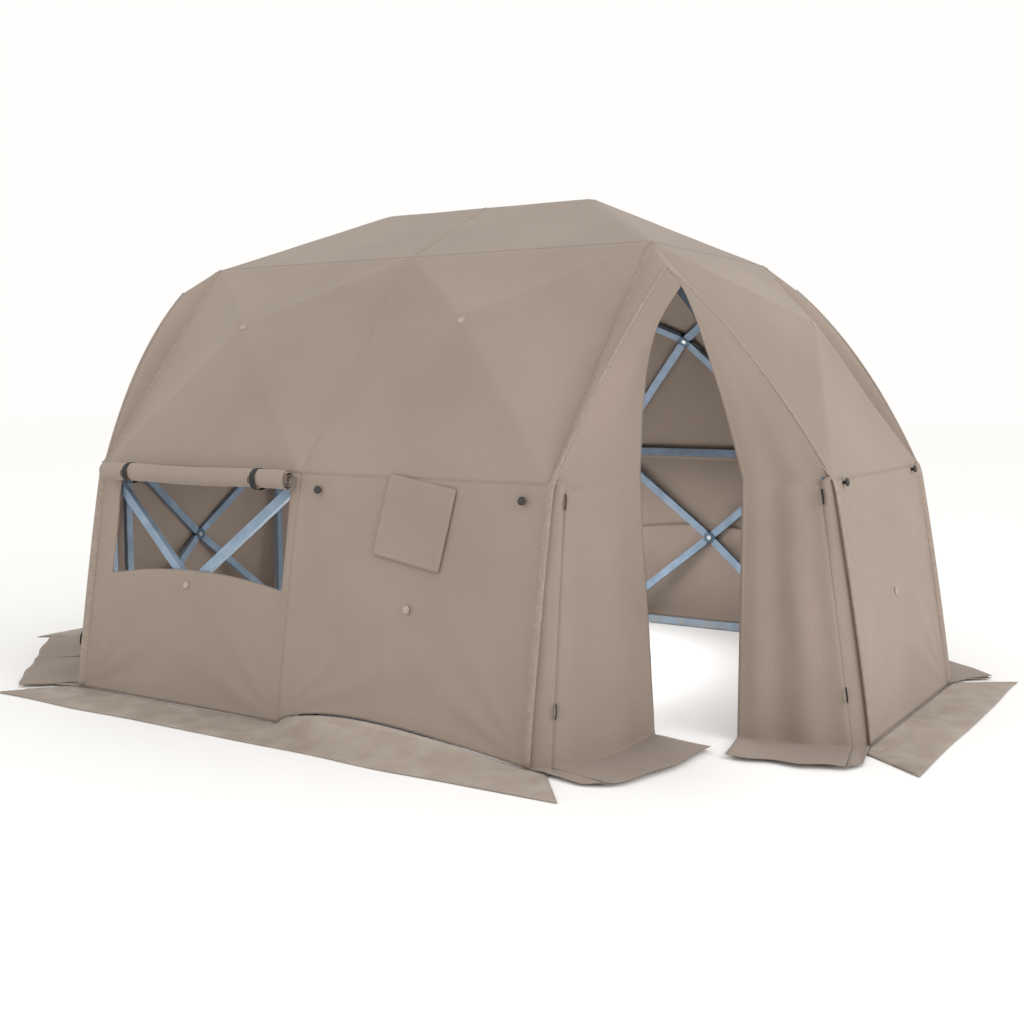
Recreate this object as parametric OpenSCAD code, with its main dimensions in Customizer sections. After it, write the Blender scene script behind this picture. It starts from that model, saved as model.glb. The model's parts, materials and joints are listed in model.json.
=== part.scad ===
// Quick-erect frame tent: an elongated eight-sided shelter of two bays by one,
// with hub-and-strut walls, a hipped roof over two bays and a door across each corner.
// Origin on the ground at the middle of the plan. +X runs along the two bays, +Z is up,
// and the long wall with the open window faces -Y.

/* [Frame layout] */
// Width of one bay, from post to post
bay_w = 1600; // [1450:10:1930]
// Height of the eave hubs above the ground
eave_h = 1350; // [1250:10:1630]
// Height of the six roof corner hubs above the ground
roof_h = 2600; // [2400:10:2800]
// How far the eave hubs stand outside the roof corners
eave_out = 1020; // [900:10:1120]
// Rise of each roof centre hub above the roof corners
roof_rise = 395; // [300:5:480]
// How far each upper wall centre hub stands proud of its panel
upper_proud = 222; // [150:2:240]
// How far each upper wall centre hub sits above the middle of its slope
upper_shift = 98; // [0:2:110]

/* [Frame members] */
// Width of a strut's face
strut_w = 55; // [45:1:60]
// Depth of a strut
strut_t = 35; // [30:1:42]
// Wall of the strut tube
strut_wall = 2; // [1.5:0.5:3]
// Clearance between a hub's spigot and the tube that it plugs into
spigot_gap = 0.5; // [0.3:0.1:1]
// Length of spigot inside each tube
spigot_l = 40; // [25:5:60]
// Distance from a corner hub's centre to the ends of its tubes
corner_set = 88; // [85:1:100]
// Distance from a wall centre hub's pin to the ends of its tubes
centre_set = 48; // [46:1:60]
// Radius of the pin in each centre hub
pin_r = 9; // [6:1:12]

/* [Cover] */
// Thickness of the coated cover cloth
cloth_t = 3; // [2:0.5:4]
// Distance from the middle of a frame tube out to the face of the cover
cover_gap = 38; // [36:1:45]
// How far the foot of each wall stands outside the eave hubs
foot_splay = 262; // [200:2:300]
// Height of the wall's lower hem above the ground
hem_z = 14; // [12:1:30]
// Gap between two cloth panels along a seam
seam_gap = 3; // [2:0.5:5]
// Width of the ground flaps
flap_w = 345; // [250:5:360]
// How far a ground flap runs past the end of its wall, at its outer edge
flap_past = 370; // [200:10:400]

/* [Window] */
// Width of the window opening
window_w = 1370; // [1000:10:1370]
// Height of the window opening
window_tall = 580; // [400:10:600]
// Distance from the eave fold down to the top of the window
window_drop = 75; // [70:1:90]
// Sideways shift of the window from the middle of its bay
window_shift = 48; // [0:4:48]
// Radius of the rolled-up window flap
roll_r = 60; // [45:1:65]
// Width of the straps round the rolled-up flap
strap_w = 38; // [25:1:50]

/* [Port] */
// Side of the square flap over the duct port
port_w = 440; // [360:5:440]
// Side of the square hole behind the flap
port_hole = 300; // [200:5:320]
// Tilt of the port in the wall
port_tilt = 9; // [0:1:10]
// Distance down the wall from the eave fold to the middle of the port
port_down = 226; // [222:2:260]

/* [Doors] */
// Gap between the two leaves of a closed door
leaf_meet = 30; // [20:5:60]
// Share of its full width that the open door's left leaf spans
left_span = 0.95; // [0.7:0.01:1]
// Share of its full width that the open door's gathered right leaf spans
right_span = 0.59; // [0.5:0.01:1]
// Turn of the open door's left leaf from closed
left_open = 25; // [0:1:60]
// Turn of the open door's right leaf from closed
right_open = 15; // [0:1:60]
// Clearance between a door's hinge line and the post beside it
hinge_gap = 18; // [14:1:24]
// How far each door hood's peak stands out from the roof corner
hood_out = 270; // [200:5:320]
// How far each door hood's peak lies below the roof corner hub
hood_drop = 120; // [80:5:160]
// Share of the half door that the open door's left curtain spans at the eave
left_curtain = 0.85; // [0.6:0.05:0.95]
// Share of the half door that its right curtain spans at the eave
right_curtain = 0.6; // [0.5:0.05:0.95]

/* [Fittings] */
// Radius of the round ground plates
plate_r = 66; // [50:1:80]
// Thickness of the ground plates
plate_t = 8; // [5:1:10]
// Radius of the peg hole in each ground plate
peg_r = 7; // [5:0.5:10]
// How far the peg holes stand outside the wall's foot, clear of the cloth above
peg_shift = 36; // [20:1:38]
// Radius of the round guy knobs
knob_r = 22; // [15:1:28]
// Distance of the guy knobs from the middle of their bay
knob_side = 655; // [500:5:660]
// Distance from the eave fold down to the guy knobs
knob_drop = 85; // [80:1:120]
// Length of a tie tab on a door jamb
tab_l = 75; // [50:1:90]
// Width of a tie tab
tab_w = 22; // [15:1:30]

/* [Hidden] */

// Fixed sizes of small features
pad_r = 60;
pad_t = 6;
hub_r = strut_t / 2 + 11.5;
hub_h = strut_t + 8;
core_r = norm([strut_w, strut_t]) / 2 - 3;
core_h = strut_w - 2;
stem_r = 20;
pin_gap = 0.5;
pin_head_r = 16;
pin_head_t = 6;
spot_h = 2 * pin_head_t;
button_r = 24;
button_t = 5;
knob_t = 16;
knob_neck_r = 9;
knob_neck_l = 14;
strap_t = 3;
face_gap = 1.5;
leaf_start = 12;
skirt_start = 60;
leaf_head_gap = 40;
sheet_gap = 1.5;
plate_clear = 3;
strip_start = 20;
strip_clear = 4;
strip_drop = 84;
window_lap = 40;
flap_short = 4;
end_knob_drop = 20;
tab_heights = [290, 1290];
$fn = 48;

// Points of the frame
half_w = bay_w / 2;
post_lines = [-bay_w, 0, bay_w];
ground_h = pad_t + strut_w / 2 + 1.5;
// Points of the cover, outside the frame
eave_fold_out = eave_out + cover_gap;
eave_fold_h = eave_h + cover_gap / 2;
roof_fold_out = cover_gap / 2;
roof_fold_h = roof_h + cover_gap;
foot_out = eave_out + foot_splay;
wall_lean = atan((foot_out - eave_fold_out) / (eave_fold_h - hem_z));

// The lower centre hub stands just behind the leaning wall, at half the posts' height
low_hub_h = (ground_h + eave_h) / 2;
low_hub_out = eave_fold_out + (eave_fold_h - low_hub_h) * tan(wall_lean) - cover_gap;
// The upper centre hub stands proud of the slope between the roof bar and the eave bar
slope_l = norm([eave_out, roof_h - eave_h]);
slope_down = [eave_out, eave_h - roof_h] / slope_l;
slope_up_out = [-slope_down[1], slope_down[0]];
up_hub = [eave_out, roof_h + eave_h] / 2 - slope_down * upper_shift + slope_up_out * upper_proud;

// Every wall bay is [turn about Z, distance from the plan's middle to the roof bar, place of
// its middle along the wall]. Turn 0 faces -Y.
LONG_BAYS = [[0, half_w, -half_w], [0, half_w, half_w], [180, half_w, -half_w], [180, half_w, half_w]];
END_BAYS = [[90, bay_w, 0], [-90, bay_w, 0]];
ALL_BAYS = concat(LONG_BAYS, END_BAYS);
// Every post is [turn, distance to the roof bar, place along the wall]
LONG_POSTS = [for (turn = [0, 180], x = post_lines) [turn, half_w, x]];
END_POSTS = [for (turn = [90, -90], x = [-half_w, half_w]) [turn, bay_w, x]];
ALL_POSTS = concat(LONG_POSTS, END_POSTS);
// Every door is [turn, X side, Y side, open or not]. Turn 0 is the open southeast door.
DOORS = [[0, 1, -1, true], [90, 1, 1, false], [180, -1, 1, false], [270, -1, -1, false]];

function unit(v) = v / norm(v);

// A point of a wall, where along runs along the wall and out stands outside the roof bar
function wall_point(bay, along, out, h) =
    let (c = cos(bay[0]), s = sin(bay[0]), x = bay[2] + along, y = -bay[1] - out)
    [x * c - y * s, x * s + y * c, h];
function wall_normal(bay) = [sin(bay[0]), -cos(bay[0]), 0];

// Rigid placement with X along d and Z as near to n as it can be
function placed(p, d, n) =
    let (x = unit(d), y = unit(cross(n, x)), z = cross(x, y))
    [[x[0], y[0], z[0], p[0]], [x[1], y[1], z[1], p[1]], [x[2], y[2], z[2], p[2]], [0, 0, 0, 1]];

// Hollow strut from a to b, stopping short of both hub centres
module strut(a, b, n, set_a, set_b) {
    multmatrix(placed(a, b - a, n))
        translate([set_a, 0, 0])
            strut_tube(norm(b - a) - set_a - set_b);
}

module strut_tube(l) {
    difference() {
        translate([0, -strut_w / 2, -strut_t / 2]) cube([l, strut_w, strut_t]);
        translate([-1, strut_wall - strut_w / 2, strut_wall - strut_t / 2])
            cube([l + 2, strut_w - 2 * strut_wall, strut_t - 2 * strut_wall]);
    }
}

// Arm of a hub that points from a towards b and plugs into the strut there
module hub_arm(a, b, n, set) {
    w = strut_w - 2 * (strut_wall + spigot_gap);
    t = strut_t - 2 * (strut_wall + spigot_gap);
    multmatrix(placed(a, b - a, n)) translate([0, -w / 2, -t / 2]) cube([set + spigot_l, w, t]);
}

// Half of a bay's corners: ground, eave and roof hubs at one side of the bay
function ground_pt(bay, side) = wall_point(bay, side * half_w, eave_out, ground_h);
function eave_pt(bay, side) = wall_point(bay, side * half_w, eave_out, eave_h);
function roof_pt(bay, side) = wall_point(bay, side * half_w, 0, roof_h);
function low_corners(bay) = [for (side = [-1, 1]) each [ground_pt(bay, side), eave_pt(bay, side)]];
function up_corners(bay) = [for (side = [-1, 1]) each [roof_pt(bay, side), eave_pt(bay, side)]];
function low_centre(bay) = wall_point(bay, 0, low_hub_out, low_hub_h);
function up_centre(bay) = wall_point(bay, 0, up_hub[0], up_hub[1]);
function slope_normal(bay) =
    let (n = wall_normal(bay)) [n[0] * slope_up_out[0], n[1] * slope_up_out[0], slope_up_out[1]];
function roof_centre(x) = [x, 0, roof_h + roof_rise];
function roof_corner(x, y) = [x, y, roof_h];

// ---- Frame ----

module foot_pads() {
    color("#3a3835")
        for (post = ALL_POSTS)
            translate(wall_point(post, 0, eave_out, 0)) cylinder(r = pad_r, h = pad_t);
}

module ground_hubs() {
    color("#5b7488")
        for (post = ALL_POSTS) {
            hub = wall_point(post, 0, eave_out, ground_h);
            n = wall_normal(post);
            union() {
                translate([hub[0], hub[1], pad_t]) cylinder(r = stem_r, h = ground_h - pad_t);
                hub_arm(hub, wall_point(post, 0, eave_out, eave_h), n, corner_set);
                for (side = sides_of(post)) {
                    bay = [post[0], post[1], post[2] + side * half_w];
                    hub_arm(hub, ground_pt(bay, side), n, corner_set);
                    hub_arm(hub, low_centre(bay), n, corner_set);
                }
            }
        }
}

// The sides on which a post has a bay: an end post has one, a middle post two
function wall_half(post) = post[1] == bay_w ? half_w : bay_w;
function sides_of(post) =
    [for (side = [-1, 1]) if (abs(post[2] + side * bay_w) < wall_half(post) + 1) side];

module posts() {
    color("#7f9bb4")
        for (post = ALL_POSTS)
            strut(wall_point(post, 0, eave_out, ground_h), wall_point(post, 0, eave_out, eave_h),
                wall_normal(post), corner_set, corner_set);
}

module ground_bars() {
    color("#6f8ba3")
        for (bay = ALL_BAYS)
            strut(ground_pt(bay, -1), ground_pt(bay, 1), wall_normal(bay), corner_set, corner_set);
}

// Eight-sided core of an eave hub, with its axis upright. All of the arms start inside it.
module hub_core() {
    intersection() {
        cube([core_h, 2 * core_r, 2 * core_r], center = true);
        rotate([45, 0, 0]) cube([core_h, 2 * core_r, 2 * core_r], center = true);
    }
}

module eave_hubs() {
    color("#5b7488")
        for (post = ALL_POSTS) {
            hub = wall_point(post, 0, eave_out, eave_h);
            n = wall_normal(post);
            union() {
                multmatrix(placed(hub, [0, 0, 1], n)) hub_core();
                hub_arm(hub, wall_point(post, 0, eave_out, 0), n, corner_set);
                hub_arm(hub, wall_point(post, 0, 0, roof_h), slope_normal(post), corner_set);
                for (side = sides_of(post)) {
                    bay = [post[0], post[1], post[2] + side * half_w];
                    hub_arm(hub, eave_pt(bay, side), n, corner_set);
                    hub_arm(hub, low_centre(bay), n, corner_set);
                    hub_arm(hub, up_centre(bay), slope_normal(bay), corner_set);
                }
            }
        }
}

module eave_bars() {
    color("#7f9bb4")
        for (bay = ALL_BAYS)
            strut(eave_pt(bay, -1), eave_pt(bay, 1), wall_normal(bay), corner_set, corner_set);
}

module rafters() {
    color("#7f9bb4")
        for (post = ALL_POSTS)
            strut(wall_point(post, 0, 0, roof_h), wall_point(post, 0, eave_out, eave_h),
                slope_normal(post), corner_set, corner_set);
}

module lower_struts(bays) {
    color("#86a3bc")
        for (bay = bays, side = [-1, 1], corner = [ground_pt(bay, side), eave_pt(bay, side)])
            strut(corner, low_centre(bay), wall_normal(bay), corner_set, centre_set);
}

module upper_struts(bays) {
    color("#86a3bc")
        for (bay = bays, side = [-1, 1], corner = [roof_pt(bay, side), eave_pt(bay, side)])
            strut(corner, up_centre(bay), slope_normal(bay), corner_set, centre_set);
}

module centre_hub(centre, corners, n) {
    difference() {
        union() {
            for (corner = corners) hub_arm(centre, corner, n, centre_set);
            multmatrix(placed(centre, cross(n, [0.1, 0.3, 0.7]), n))
                cylinder(r = hub_r, h = hub_h, center = true);
        }
        multmatrix(placed(centre, cross(n, [0.1, 0.3, 0.7]), n))
            cylinder(r = pin_r + pin_gap, h = 2 * hub_h, center = true);
        multmatrix(placed(centre, cross(n, [0.1, 0.3, 0.7]), n))
            for (side = [-1, 1])
                translate([0, 0, side * (hub_h + spot_h) / 2])
                    cylinder(r = pin_head_r + pin_gap, h = spot_h, center = true);
    }
}

// Pin through a centre hub, with a washer head at each end
module hub_pin(centre, n) {
    multmatrix(placed(centre, cross(n, [0.1, 0.3, 0.7]), n)) {
        cylinder(r = pin_r, h = hub_h + 2 * pin_head_t, center = true);
        for (side = [-1, 1])
            translate([0, 0, side * ((hub_h + pin_head_t) / 2 + pin_gap)])
                cylinder(r = pin_head_r, h = pin_head_t, center = true);
    }
}

module lower_centre_hubs() {
    color("#5b7488")
        for (bay = ALL_BAYS)
            centre_hub(low_centre(bay), low_corners(bay), wall_normal(bay));
}

module upper_centre_hubs() {
    color("#5b7488")
        for (bay = ALL_BAYS)
            centre_hub(up_centre(bay), up_corners(bay), slope_normal(bay));
}

module lower_hub_pins() {
    color("#b9bcc0") for (bay = ALL_BAYS) hub_pin(low_centre(bay), wall_normal(bay));
}

module upper_hub_pins() {
    color("#b9bcc0") for (bay = ALL_BAYS) hub_pin(up_centre(bay), slope_normal(bay));
}

module roof_hubs() {
    color("#5b7488")
        for (x = post_lines, y = [-half_w, half_w]) {
            hub = roof_corner(x, y);
            union() {
                translate(hub) sphere(r = hub_r);
                hub_arm(hub, roof_corner(x, -y), [0, 0, 1], corner_set);
                for (other = post_lines)
                    if (abs(other - x) == bay_w) {
                        hub_arm(hub, roof_corner(other, y), [0, 0, 1], corner_set);
                        hub_arm(hub, roof_centre((other + x) / 2), [0, 0, 1], corner_set);
                    }
                for (post = ALL_POSTS)
                    if (norm(wall_point(post, 0, 0, roof_h) - hub) < 1) {
                        hub_arm(hub, wall_point(post, 0, eave_out, eave_h), slope_normal(post), corner_set);
                        for (side = sides_of(post))
                            hub_arm(hub, up_centre([post[0], post[1], post[2] + side * half_w]),
                                slope_normal(post), corner_set);
                    }
            }
        }
}

module roof_bars() {
    color("#7f9bb4") {
        for (x = post_lines)
            strut(roof_corner(x, -half_w), roof_corner(x, half_w), [0, 0, 1], corner_set, corner_set);
        for (y = [-half_w, half_w], x = [-bay_w, 0])
            strut(roof_corner(x, y), roof_corner(x + bay_w, y), [0, 0, 1], corner_set, corner_set);
    }
}

function roof_corners(x) = [for (dx = [-half_w, half_w], y = [-half_w, half_w]) roof_corner(x + dx, y)];

module roof_struts() {
    color("#86a3bc")
        for (x = [-half_w, half_w], corner = roof_corners(x))
            strut(corner, roof_centre(x), [0, 0, 1], corner_set, centre_set);
}

module roof_centre_hubs() {
    color("#5b7488") for (x = [-half_w, half_w]) centre_hub(roof_centre(x), roof_corners(x), [0, 0, 1]);
}

module roof_hub_pins() {
    color("#b9bcc0") for (x = [-half_w, half_w]) hub_pin(roof_centre(x), [0, 0, 1]);
}

// ---- Cover ----

// Corner of a flat outline after its two edges move inwards by g
function inset_point(pts, i, g) =
    let (k = len(pts), v = pts[i], a = unit(v - pts[(i + k - 1) % k]), b = unit(pts[(i + 1) % k] - v))
    v + g * (b - a) / (a[0] * b[1] - a[1] * b[0]);

// Flat cloth panel through points that run anticlockwise as seen from outside
module panel(pts) {
    x = unit(pts[1] - pts[0]);
    z = unit(cross(x, pts[len(pts) - 1] - pts[0]));
    y = cross(z, x);
    flat = [for (p = pts) [(p - pts[0]) * x, (p - pts[0]) * y]];
    multmatrix(placed(pts[0], x, z))
        translate([0, 0, -cloth_t])
            linear_extrude(cloth_t)
                polygon([for (i = [0 : len(flat) - 1]) inset_point(flat, i, seam_gap)]);
}

// Cover points of a wall bay
function foot_fold(bay, side) = wall_point(bay, side * half_w, foot_out, hem_z);
function eave_fold(bay, side) = wall_point(bay, side * half_w, eave_fold_out, eave_fold_h);
function roof_fold(bay, side) = wall_point(bay, side * half_w, roof_fold_out, roof_fold_h);
function up_peak(bay) = up_centre(bay) + cover_gap * slope_normal(bay);

// Four triangles that meet at a peak, round a closed run of corners
module pyramid(corners, peak) {
    for (i = [0 : len(corners) - 1]) panel([corners[i], corners[(i + 1) % len(corners)], peak]);
}

// The roof cloth is pulled straight from one centre hub to the other, so it is a hipped roof
module roof_cover() {
    corner = [bay_w + roof_fold_out, half_w + roof_fold_out, roof_fold_h];
    seam_foot = [0, -corner[1], corner[2]];
    ridge = [0, 0, roof_h + roof_rise + cover_gap];
    ridge_end = ridge + [half_w, 0, 0];
    southeast = [corner[0], -corner[1], corner[2]];
    southwest = [-corner[0], -corner[1], corner[2]];
    color("#a19184")
        for (turn = [0, 180])
            rotate([0, 0, turn]) {
                panel([southwest, seam_foot, ridge, ridge - [half_w, 0, 0]]);
                panel([seam_foot, southeast, ridge_end, ridge]);
                panel([southeast, corner, ridge_end]);
            }
}

module upper_wall_cover() {
    color("#a19184")
        for (bay = ALL_BAYS)
            pyramid([eave_fold(bay, -1), eave_fold(bay, 1), roof_fold(bay, 1), roof_fold(bay, -1)],
                up_peak(bay));
}

// Point on the face of a lower wall: along it, and down the cloth from the eave fold
function wall_face(bay, along, down, proud = 0) =
    wall_point(bay, along, eave_fold_out + down * sin(wall_lean) + proud * cos(wall_lean),
        eave_fold_h - down * cos(wall_lean) + proud * sin(wall_lean));
wall_drop = (eave_fold_h - hem_z) / cos(wall_lean);
low_hub_drop = (eave_fold_h - low_hub_h) / cos(wall_lean);

// Places its children on a lower wall's face, with X along the wall and Z square to the cloth
module on_wall(bay, along, down, proud) {
    run = wall_face(bay, 1, 0) - wall_face(bay, 0, 0);
    out = wall_face(bay, 0, 0, 1) - wall_face(bay, 0, 0);
    multmatrix(placed(wall_face(bay, along, down, proud), run, out)) children();
}

// Rectangle of cloth on a lower wall, between two places along it and two distances down
module wall_rect(bay, x0, x1, d0, d1) {
    panel([wall_face(bay, x0, d1), wall_face(bay, x1, d1), wall_face(bay, x1, d0), wall_face(bay, x0, d0)]);
}

// Lower wall of four strips round a hole
module wall_with_hole(bay, x0, x1, d0, d1) {
    wall_rect(bay, -half_w, half_w, 0, d0);
    wall_rect(bay, -half_w, x0, d0, d1);
    wall_rect(bay, x1, half_w, d0, d1);
    wall_rect(bay, -half_w, half_w, d1, wall_drop);
}

window_foot = window_drop + window_tall;

module window_wall(bay) {
    wall_with_hole(bay, window_shift - window_w / 2, window_shift + window_w / 2, window_drop, window_foot);
}

module port_wall(bay) {
    side = port_hole / 2;
    wall_with_hole(bay, -side, side, port_down - side, port_down + side);
}

module lower_wall_window_bays() {
    color("#a19184") {
        window_wall(LONG_BAYS[0]);
        window_wall(LONG_BAYS[2]);
    }
}

module lower_wall_port_bays() {
    color("#a19184") {
        port_wall(LONG_BAYS[1]);
        port_wall(LONG_BAYS[3]);
    }
}

module lower_wall_ends() {
    color("#a19184") for (bay = END_BAYS) wall_rect(bay, -half_w, half_w, 0, wall_drop);
}

// ---- Doors. In a door's own frame the roof corner is at the origin, the left jamb lies
// along -Y and the right jamb along +X. ----

module at_door(door) {
    translate([door[1] * bay_w, door[2] * half_w, 0]) rotate([0, 0, door[0]]) children();
}

hood_peak = [hood_out / sqrt(2), -hood_out / sqrt(2), roof_h - hood_drop];
hood_corner = [roof_fold_out, -roof_fold_out, roof_fold_h];
left_eave = [0, -eave_fold_out, eave_fold_h];
right_eave = [eave_fold_out, 0, eave_fold_h];
// The hinge lines stand just inside the door from each post
hinge_side = strut_w / 2 + hinge_gap;
hinge_out = eave_out - strut_t / 2 - sheet_gap;
left_hinge = [hinge_side, -hinge_out];
right_hinge = [hinge_out, -hinge_side];
left_jamb = [left_hinge[0], left_hinge[1], eave_fold_h];
right_jamb = [right_hinge[0], right_hinge[1], eave_fold_h];
leaf_full = (norm(right_hinge - left_hinge) - leaf_meet) / 2;
strip_skirt_z = plate_t + sheet_gap;
skirt_z = strip_skirt_z + cloth_t + sheet_gap;
strip_foot = strip_skirt_z + cloth_t + sheet_gap;
leaf_foot = skirt_z + cloth_t + sheet_gap;
leaf_head = eave_fold_h - leaf_head_gap;
strip_head = eave_h - strip_drop;
strip_out = eave_fold_out + (eave_fold_h - strip_head) * tan(wall_lean) - strip_clear;

module door_hoods() {
    color("#a8988a")
        for (door = DOORS) at_door(door) {
            panel([hood_corner, left_eave, hood_peak]);
            panel([hood_corner, hood_peak, right_eave]);
        }
}

// A point at a door's eave, a share of a leaf's full width along a turned line
function along_eave(from, turn, share) = from + leaf_full * share * [cos(turn), sin(turn), 0];

module door_top_curtains() {
    color("#9b8c7e")
        for (door = DOORS) at_door(door) {
            left_end = door[3] ? along_eave(left_jamb, 45 + left_open, left_curtain)
                : along_eave(left_jamb, 45, 1);
            right_end = door[3] ? along_eave(right_jamb, 225 - right_open, right_curtain)
                : along_eave(right_jamb, 225, 1);
            panel([left_jamb, left_end, hood_peak]);
            panel([right_end, right_jamb, hood_peak]);
        }
}

// Fixed strips of the cover between each wall's corner and the door's hinge line
module door_jamb_strips() {
    color("#9b8c7e")
        for (door = DOORS) at_door(door) {
            jamb_strip();
            mirror([1, 1, 0]) jamb_strip();
        }
}

// The left jamb's strip and its ground skirt. The right jamb's are their mirror image.
module jamb_strip() {
    foot = [0, -foot_out + plate_clear, strip_foot];
    low = [left_hinge[0], left_hinge[1] - strip_start, strip_foot];
    high = [low[0], low[1], strip_head];
    panel([foot, low, high]);
    panel([foot, high, [0, -strip_out, strip_head]]);
    run = unit(low - foot);
    out = flap_w * [run[1], -run[0]];
    corner = [foot[0] + strip_clear, foot[1]];
    translate([0, 0, strip_skirt_z])
        linear_extrude(cloth_t)
            polygon([corner, corner + out, [low[0], low[1]] + out, [low[0], low[1]]]);
}

// Door leaf with its ground skirt, along +X from its hinge line. The skirt lies on the -Y side,
// and its far corner keeps within the leaf's own reach, so that the two leaves pass each other.
module leaf(w) {
    skirt_end = min(w, sqrt(leaf_full * leaf_full - flap_w * flap_w));
    color("#9b8c7e") {
        translate([leaf_start, -cloth_t / 2, leaf_foot])
            cube([w - leaf_start, cloth_t, leaf_head - leaf_foot]);
        translate([0, 0, skirt_z])
            linear_extrude(cloth_t)
                polygon([[skirt_start, 0], [w, 0], [skirt_end, -flap_w], [skirt_start, -flap_w]]);
    }
}

module left_leaf(door) {
    at_door(door) translate(left_hinge)
        rotate([0, 0, 45 + (door[3] ? left_open : 0)]) leaf(leaf_full * (door[3] ? left_span : 1));
}

module right_leaf(door) {
    at_door(door) translate(right_hinge)
        rotate([0, 0, 225 - (door[3] ? right_open : 0)])
            mirror([0, 1, 0]) leaf(leaf_full * (door[3] ? right_span : 1));
}

module leaf_southeast_left() { left_leaf(DOORS[0]); }
module leaf_southeast_right() { right_leaf(DOORS[0]); }
module leaf_northeast_left() { left_leaf(DOORS[1]); }
module leaf_northeast_right() { right_leaf(DOORS[1]); }
module leaf_northwest_left() { left_leaf(DOORS[2]); }
module leaf_northwest_right() { right_leaf(DOORS[2]); }
module leaf_southwest_left() { left_leaf(DOORS[3]); }
module leaf_southwest_right() { right_leaf(DOORS[3]); }

// ---- Ground flaps and plates ----

// Flap of one whole wall, notched round its ground plates
module ground_flap(turn, roof_bar, half_l, plates) {
    y0 = -roof_bar - foot_out - sheet_gap;
    y1 = -roof_bar - foot_out - flap_w;
    rotate([0, 0, turn])
        linear_extrude(cloth_t)
            difference() {
                polygon([[-half_l, y0], [-half_l - flap_past, y1], [half_l + flap_past, y1], [half_l, y0]]);
                for (x = plates) translate([x, -roof_bar - foot_out]) circle(r = plate_r + plate_clear);
            }
}

module ground_flaps() {
    color("#9d8e81") {
        for (turn = [0, 180]) ground_flap(turn, half_w, bay_w, post_lines);
        for (turn = [90, -90]) ground_flap(turn, bay_w, half_w, [-half_w, half_w]);
    }
}

module ground_plates() {
    color("#b0a294")
        for (post = ALL_POSTS)
            difference() {
                translate(wall_point(post, 0, foot_out, 0)) cylinder(r = plate_r, h = plate_t);
                translate(wall_point(post, 0, foot_out + peg_shift, -1))
                    cylinder(r = peg_r, h = plate_t + 2);
            }
}

// ---- Window flaps ----

// The rolled-up flap of the south window, strapped to the wall above the opening
roll_l = window_w + 2 * window_lap + 80;
roll_side = window_shift - 16;
roll_drop = 45;
roll_proud = roll_r + strap_t + 2 * sheet_gap;
strap_places = [-512, 520];

module on_roll(along) {
    on_wall(LONG_BAYS[0], roll_side + along, roll_drop, roll_proud) rotate([0, 90, 0]) children();
}

module window_roll() {
    color("#a19184") on_roll(0) cylinder(r = roll_r, h = roll_l, center = true);
}

module window_straps() {
    color("#25221f")
        for (along = strap_places)
            on_roll(along)
                difference() {
                    cylinder(r = roll_r + sheet_gap / 2 + strap_t, h = strap_w, center = true);
                    cylinder(r = roll_r + sheet_gap / 2, h = strap_w + 2, center = true);
                }
}

// A flap over a hole in a lower wall, lying on the wall's face
module wall_flap(bay, along, down, w, h, tilt) {
    on_wall(bay, along, down, face_gap)
        rotate([0, 0, -tilt])
            translate([-w / 2, -h / 2, 0]) cube([w, h, cloth_t]);
}

// The north window's flap hangs from above its opening and stops just short of its foot
module north_window_flap() {
    flap_h = window_tall + window_lap - flap_short;
    color("#a19184")
        wall_flap(LONG_BAYS[2], window_shift, window_drop - window_lap + flap_h / 2,
            window_w + 2 * window_lap, flap_h, 0);
}

module port_flap(bay) {
    color("#a19184") wall_flap(bay, 0, port_down, port_w, port_w, port_tilt);
}

module south_port_flap() { port_flap(LONG_BAYS[1]); }
module north_port_flap() { port_flap(LONG_BAYS[3]); }

// ---- Small fittings ----

module guy_knobs() {
    color("#1d1b1a")
        for (side = [-1, 1]) {
            for (bay = [LONG_BAYS[1], LONG_BAYS[3]]) on_wall(bay, side * knob_side, knob_drop, 1) knob();
            for (bay = END_BAYS) on_wall(bay, side * knob_side, end_knob_drop, 1) knob();
        }
}

module knob() {
    cylinder(r = knob_neck_r, h = knob_neck_l);
    translate([0, 0, knob_neck_l]) cylinder(r = knob_r, h = knob_t);
}

// Webbing tabs at the foot and head of every door jamb
module tie_tabs() {
    color("#1d1b1a")
        for (door = DOORS, h = tab_heights) at_door(door) {
            tie_tab(h);
            mirror([1, 1, 0]) tie_tab(h);
        }
}

module tie_tab(h) {
    out = eave_fold_out + (eave_fold_h - h) * tan(wall_lean);
    translate([sheet_gap, -out - strap_t, h])
        rotate([0, 0, 45])
            translate([0, -tab_w, -tab_l / 2]) cube([strap_t, tab_w, tab_l]);
}

// Stitched discs of cloth over the pins of the centre hubs
module lower_hub_buttons() {
    color("#c9bcb0")
        for (bay = ALL_BAYS)
            on_wall(bay, 0, low_hub_drop, 1) cylinder(r = button_r, h = button_t);
}

module upper_hub_buttons() {
    color("#c9bcb0")
        for (bay = ALL_BAYS)
            multmatrix(placed(up_peak(bay), cross(slope_normal(bay), [0.1, 0.3, 0.7]), slope_normal(bay)))
                translate([0, 0, 1]) cylinder(r = button_r, h = button_t);
}

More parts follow.
